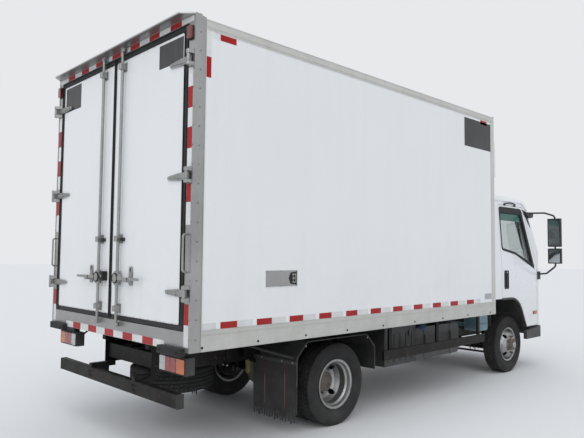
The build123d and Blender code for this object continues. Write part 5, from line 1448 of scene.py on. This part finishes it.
def inflate(forms):  # each form is remeshed and blown up as cloth, with no point moving further than the cap
    scene = bpy.context.scene
    for form in forms:
        remesh = form.modifiers.new("remesh", "REMESH")
        remesh.mode = "VOXEL"
        remesh.voxel_size = seat["voxel"]
    tree = bpy.context.evaluated_depsgraph_get()
    made = [bpy.data.meshes.new_from_object(form.evaluated_get(tree)) for form in forms]
    for form, mesh in zip(forms, made):
        form.modifiers.clear()
        form.data = mesh
    for form in forms:
        cloth = form.modifiers.new("cloth", "CLOTH")
        cloth.settings.use_pressure = True
        cloth.settings.uniform_pressure_force = seat["pressure"]
        cloth.settings.effector_weights.gravity = 0.0
        cloth.settings.tension_stiffness = cloth.settings.compression_stiffness = seat["stiffness"]
        cloth.settings.quality = 5
        cloth.point_cache.frame_start = 1
        cloth.point_cache.frame_end = seat["frames"]
    for number in range(1, seat["frames"] + 1):
        scene.frame_set(number)
    tree = bpy.context.evaluated_depsgraph_get()
    for form in forms:
        start, end = pointsOf(form.data), pointsOf(form.evaluated_get(tree).data)
        move = end - start
        reach = np.maximum(np.linalg.norm(move, axis=1), 1e-9)[:, None]
        form.modifiers.clear()
        form.data.vertices.foreach_set("co", (start + move * np.minimum(1, seat["cap"] / reach)).ravel())
    scene.frame_set(1)


def sew(mesh):
    # Points move along their normals: out in a narrow welt on the two long seams, in along the channels
    # between
    points, normals = pointsOf(mesh), pointsOf(mesh, "normal")
    across = points[:, 0] - seat["middle"]
    lift = 0
    for lines, (width, height), sign in ((seat["seams"], seat["welt"], 1),
                                         (seat["channels"], seat["fold"], -1)):
        lift = lift + sign * (sum(np.exp(-((across - line) / width) ** 2) for line in lines) * height)
    points += normals * (lift * (1 - np.abs(normals[:, 0])))[:, None]
    mesh.vertices.foreach_set("co", points.ravel())
    mesh.update()


def makeSeats():
    forms = []
    for name, (outline, half, radius) in seat["forms"].items():
        side = rounded([(yAt(ahead), height) for ahead, height in outline], radius, 6)
        points, faces = prism(side, 0, seat["middle"] - half, seat["middle"] + half)
        mesh = bpy.data.meshes.new(name)
        mesh.from_pydata(points.tolist(), [], faces)
        forms.append(show(name + "Driver", mesh))
    inflate(forms)
    for form in forms:
        mesh = form.data
        sew(mesh)
        mesh.materials.clear()
        mesh.materials.append(finishes["seatCloth"])
        mesh.materials.append(finishes["trimGrey"])
        middles = np.zeros(len(mesh.polygons) * 3)
        mesh.polygons.foreach_get("center", middles)
        outer = np.abs(middles.reshape(-1, 3)[:, 0] - seat["middle"]) > seat["seams"][1]
        mesh.polygons.foreach_set("material_index", outer.astype(np.int32))
        settle(mesh, merge=False)
        twin = show(form.name.replace("Driver", "Passenger"), mesh.copy())
        twin.data.transform(Matrix.Translation((-2 * seat["middle"], 0, 0)))
        for made in (form, twin):
            smooth = made.modifiers.new("smooth", "SUBSURF")
            smooth.levels = smooth.render_levels = 1
            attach(made, "cab")
            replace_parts(made, "seats")


def makeSeatFrames():
    m = seat["middle"]
    steel = [upright(m + x, 5.180, 1.86, 1.965, 0.007, 14) for x in (-0.06, 0.06)]
    steel += [block((m + x - 0.012, m + x + 0.012), (5.26, 5.69), (1.112, 1.128)) for x in (-0.16, 0.16)]
    steel.append(tube(at((m - 0.12, 5.66, 1.122), (m - 0.12, 5.73, 1.120), (m + 0.12, 5.73, 1.120),
                         (m + 0.12, 5.66, 1.122)), 0.006, 0.02, 10))
    shell = [block((m - 0.19, m + 0.19), (5.262, 5.678), (1.126, 1.160)),
             block((m - 0.18, m + 0.18), (5.122, 5.142), (1.36, 1.86))]
    covers = [bar(*at((m + s * 0.205, 5.232, 1.335), (m + s * 0.221, 5.232, 1.335)), 0.042, 28)
              for s in (-1, 1)]
    route = at((0.930, 5.105, 2.02), (0.930, 5.108, 1.6), (0.928, 5.112, 1.20))
    belt = carry(oblong((-0.0009, 0.0009), (-0.024, 0.024)), smoothPath(route, 0.05, 4), (1, 0, 0))
    buckle = block((m - 0.232, m - 0.214), (5.23, 5.262), (1.25, 1.345))
    frames = piece("seatFrames", "cab", "trim_grey", pair("chrome", steel), pair("trimGrey", shell, covers),
                   pair("softRubber", belt, buckle), bevel=0.002)
    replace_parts(frames, "seats")


def makeDash():
    # Cluster with dials and a hood, vents, heater knobs, a lidded tray, levers, pedals and the pillar handles
    dials, rims, needles = [], [], []
    for x, r in ((0.555, 0.046), (0.725, 0.046), (0.640, 0.024)):
        face = np.array([0.64, yAt(6.172), 1.386]) + np.array([x - 0.64, 0.0235, 0.027])
        dials.append(bar(face, face + np.array([0, 0.002, 0]), r, 32))
        rims.append(lathe([(0, r), (0.004, r + 0.001), (0.004, r + 0.005), (0, r + 0.005)], face, 1, 36))
        needles.append(boxes(face + np.array([-0.001, 0.002, 0]), face + np.array([0.001, 0.0035, r * 0.8])))
    hood = [(6.150, 1.330), (6.335, 1.416), (6.335, 1.452), (6.165, 1.478), (6.150, 1.470)]
    hood = prism([(yAt(ahead), z) for ahead, z in hood], 0, 0.455, 0.825)
    panel = block((-0.12, 0.18), (6.151, 6.176), (1.202, 1.268))
    lid = [block((-0.72, -0.24), (6.148, 6.176), (1.198, 1.268)),
           block((-0.53, -0.43), (6.142, 6.149), (1.252, 1.262))]
    knobs = [bar(*at((x, 6.160, 1.236), (x, 6.134, 1.236)), 0.017, 24) for x in (-0.06, 0.02, 0.10)]
    stalks = [tube(at((0.64 + s * 0.03, 6.075, 1.465), (0.64 + s * 0.12, 6.050, 1.480),
                      (0.64 + s * 0.155, 6.042, 1.484)),
                   0.006, 0.03, 12) for s in (-1, 1)]
    visor = [block((x - 0.24, x + 0.24), (5.985, 5.997), (2.285, 2.425)) for x in (0.45, -0.45)]
    starts = (-0.90, -0.10, 0.05)
    vents = [block((x, x + 0.13), (6.136, 6.156), (1.282, 1.322)) for x in starts]
    vents += [block((x + 0.006, x + 0.124), (6.132, 6.136), (z, z + 0.004))
              for x in starts for z in (1.290, 1.300, 1.310)]
    boot = lathe([(1.172, 0.065), (1.190, 0.058), (1.200, 0.040),
                  (1.212, 0.034), (1.222, 0.020), (1.235, 0.010)],
                 *at((0.13, 6.04, 0)), 2, 30, closed=False)
    pedals = [block((x - 0.028, x + 0.028), (6.205, 6.215), (1.145, 1.215)) for x in (0.52, 0.68, 0.80)]
    mat = [block(across, (5.76, 6.16), (1.112, 1.118)) for across in ((0.43, 0.92), (-0.92, -0.43))]
    lever = [tube(at((0.13, 6.04, 1.185), (0.12, 6.00, 1.33), (0.10, 5.95, 1.41)), 0.009, 0.05, 14),
             lathe([(-0.03, 0.0), (-0.026, 0.016), (0.0, 0.024), (0.022, 0.020), (0.03, 0.0)],
                   *at((0.098, 5.945, 1.430)), 2, 24, closed=False)]
    rods = [bar(*at((x, 6.212, 1.20), (x, 6.26, 1.30)), 0.007, 10) for x in (0.52, 0.68, 0.80)]
    grip = tube(at((0.905, 6.10, 2.05), (0.885, 6.075, 2.04), (0.900, 6.185, 1.76), (0.925, 6.21, 1.75)),
                0.011, 0.03, 14)
    piece("dashFittings", "cab", "trim_grey", coat("trimGrey", hood, panel, lid, knobs, stalks, visor),
          coat("softRubber", dials), coat("chrome", rims), coat("redLens", needles),
          coat("softRubber", vents, boot, pedals, mat), coat("chassisBlack", lever, rods),
          pair("softRubber", grip), bevel=0.0015)
    middle, axis = np.array([0.64, yAt(6.02), 1.52]), np.array([0, 0.527, 0.850])
    pad = [carry(disc(radius, 32), [middle + axis * low, middle + axis * high], (1, 0, 0))
           for radius, low, high in ((0.046, -0.004, 0.006), (0.036, 0.006, 0.011))]
    piece("hornPad", "steering_wheel", "trim_grey", coat("softRubber", pad), bevel=0.0015)


def makeDoorTrim():
    # Inner panel of each door with its arm rest, pull, crank and lock button
    card = [(5.36, 1.075), (5.74, 1.075), (5.95, 1.02), (6.16, 1.02),
            (6.18, 1.42), (5.70, 1.58), (5.36, 1.62)]
    card = sheetOn(onSide, rounded(card, 0.03, 4), -0.0635, 0.003)
    rest = [(5.50, 1.285), (5.92, 1.285), (5.95, 1.325), (5.48, 1.330)]
    rest = sheetOn(onSide, rounded(rest, 0.012, 4), -0.108, 0.046)
    pull = at((0.966, 5.52, 1.36), (0.935, 5.54, 1.375), (0.935, 5.72, 1.375), (0.966, 5.74, 1.36))
    crank = [bar(*at((0.966, 6.02, 1.24), (0.946, 6.02, 1.24)), 0.016, 20),
             tube(at((0.950, 6.02, 1.24), (0.945, 6.07, 1.19), (0.938, 6.10, 1.16)), 0.006, 0.02, 10),
             bar(*at((0.944, 6.10, 1.16), (0.912, 6.10, 1.16)), 0.010, 16)]
    knob = bar(*at((0.955, 5.40, 1.60), (0.953, 5.40, 1.655)), 0.005, 12)
    onEach("doorTrim", "door_", "trim_grey", coat("trimGrey", card, rest),
           coat("softRubber", tube(pull, 0.009, 0.02, 12), knob, crank), bevel=0.002)


makeSeats()
makeSeatFrames()
makeDash()
makeDoorTrim()
print("cab is furnished")


# Cooling unit and the inside of the box

lining = {"wall": 1.1755, "floor": 1.0552, "roof": 3.361, "front": 4.583, "rear": 0.104}


def makeUnitDetail():
    # Screwed seams and side grilles on the cooling unit; guards, drain and fixings under the cooler inside
    spots = at(*[(x, 4.668, z) for x in (-0.9915, 0.9915) for z in (2.80, 2.95, 3.10, 3.25)])
    screws = [bolts([spot], (np.sign(spot[0]), 0, 0), 0.010, 0.004) for spot in spots]
    grille = [block((0.9898, 0.9925), (4.76, 5.05), (z, z + 0.012)) for z in np.arange(2.86, 3.14, 0.026)]
    frame = block((0.9896, 0.9915), (4.74, 5.07), (2.842, 3.158))
    seam = block((-0.991, 0.991), (4.6605, 4.668), (2.740, 2.744))
    piece("unitFittings", "chassis", "unit_white", coat("zinc", screws), pair("softRubber", frame),
          pair("blackPlastic", grille), coat("softRubber", seam))
    guards = []
    for x in (-0.4, 0.0, 0.4):
        middle = (x, yAt(4.45), 3.127)
        guards += [lathe([(-0.002, r - 0.002), (-0.002, r + 0.002), (0.002, r + 0.002), (0.002, r - 0.002)],
                         middle, 2, 40)
                   for r in (0.030, 0.052, 0.074, 0.096)]
        guards += [bar((x, yAt(4.45), 3.1235),
                       (x + 0.106 * math.cos(t), yAt(4.45) + 0.106 * math.sin(t), 3.1235),
                       0.0025, 8) for t in np.arange(4) * math.pi / 2]
    drain = tube(at((0.59, 4.55, 3.128), (0.60, 4.575, 3.10), (0.60, 4.578, 2.0), (0.60, 4.578, 1.08)),
                 0.009, 0.03, 12)
    fixings = bolts(at(*[(x, 4.30, 3.1285) for x in (-0.55, -0.2, 0.2, 0.55)]), (0, 0, -1), 0.010, 0.005)
    piece("coolerFittings", "chassis", "unit_white", coat("softRubber", guards), coat("whiteTape", drain),
          coat("zinc", fixings))


def makeLining():
    # Kick plates, corner mouldings, ribbed floor, ceiling lamps and the linings seen when the leaves are open
    wall, floor, roof, front, rear = lining.values()
    strips = [block((wall - deep, wall), ahead, height) for deep, ahead, height in (
        (0.0015, (rear, front), (floor, 1.330)), (0.006, (rear, front), (1.330, 1.336)),
        (0.03, (rear, front), (roof - 0.0028, roof)), (0.003, (rear, front), (roof - 0.03, roof)),
        (0.03, (front - 0.002, front), (floor, roof)))]
    levels = (1.62, 2.05, 2.48)
    slats = [block((wall - 0.006, wall), (rear, front - 0.02), (z, z + 0.035)) for z in levels]
    ribs = [block((x, x + 0.010), (0.108, front), (floor, floor + 0.0035))
            for x in np.arange(-1.155, 1.15, 0.042)]
    lamps = [block((-0.045, 0.045), (a, a + 0.32), (roof - 0.025, roof)) for a in (1.0, 2.6)]
    rivets = [(wall - 0.006, yAt(a), z + 0.0175) for z in levels for a in np.arange(0.3, 4.5, 0.42)]
    piece("boxLining", "chassis", "floor_alu", pair("railAluminium", strips, slats),
          coat("floorAluminium", ribs),
          coat("clearLens", lamps), pair("zinc", bolts(rivets, (-1, 0, 0), 0.005, 0.0015)))
    plates = [block(across, (0.0882, ahead), height) for across, ahead, height in (
        ((0.05, 1.08), 0.0892, (1.13, 1.36)), ((0.05, 1.08), 0.0922, (1.36, 1.366)),
        ((0.045, 1.085), 0.0896, (3.30, 3.315)), ((0.045, 0.060), 0.0896, (1.13, 3.315)),
        ((1.070, 1.085), 0.0896, (1.13, 3.315)))]
    spots = [(x, yAt(0.0892), z) for x in np.arange(0.09, 1.06, 0.12) for z in (1.15, 1.34)]
    onEach("leafLining", "leaf_", "body_white", coat("railAluminium", plates),
           coat("zinc", bolts(spots, (0, -1, 0), 0.006, 0.002)))


makeUnitDetail()
makeLining()
print("cooling unit and box lining are in")
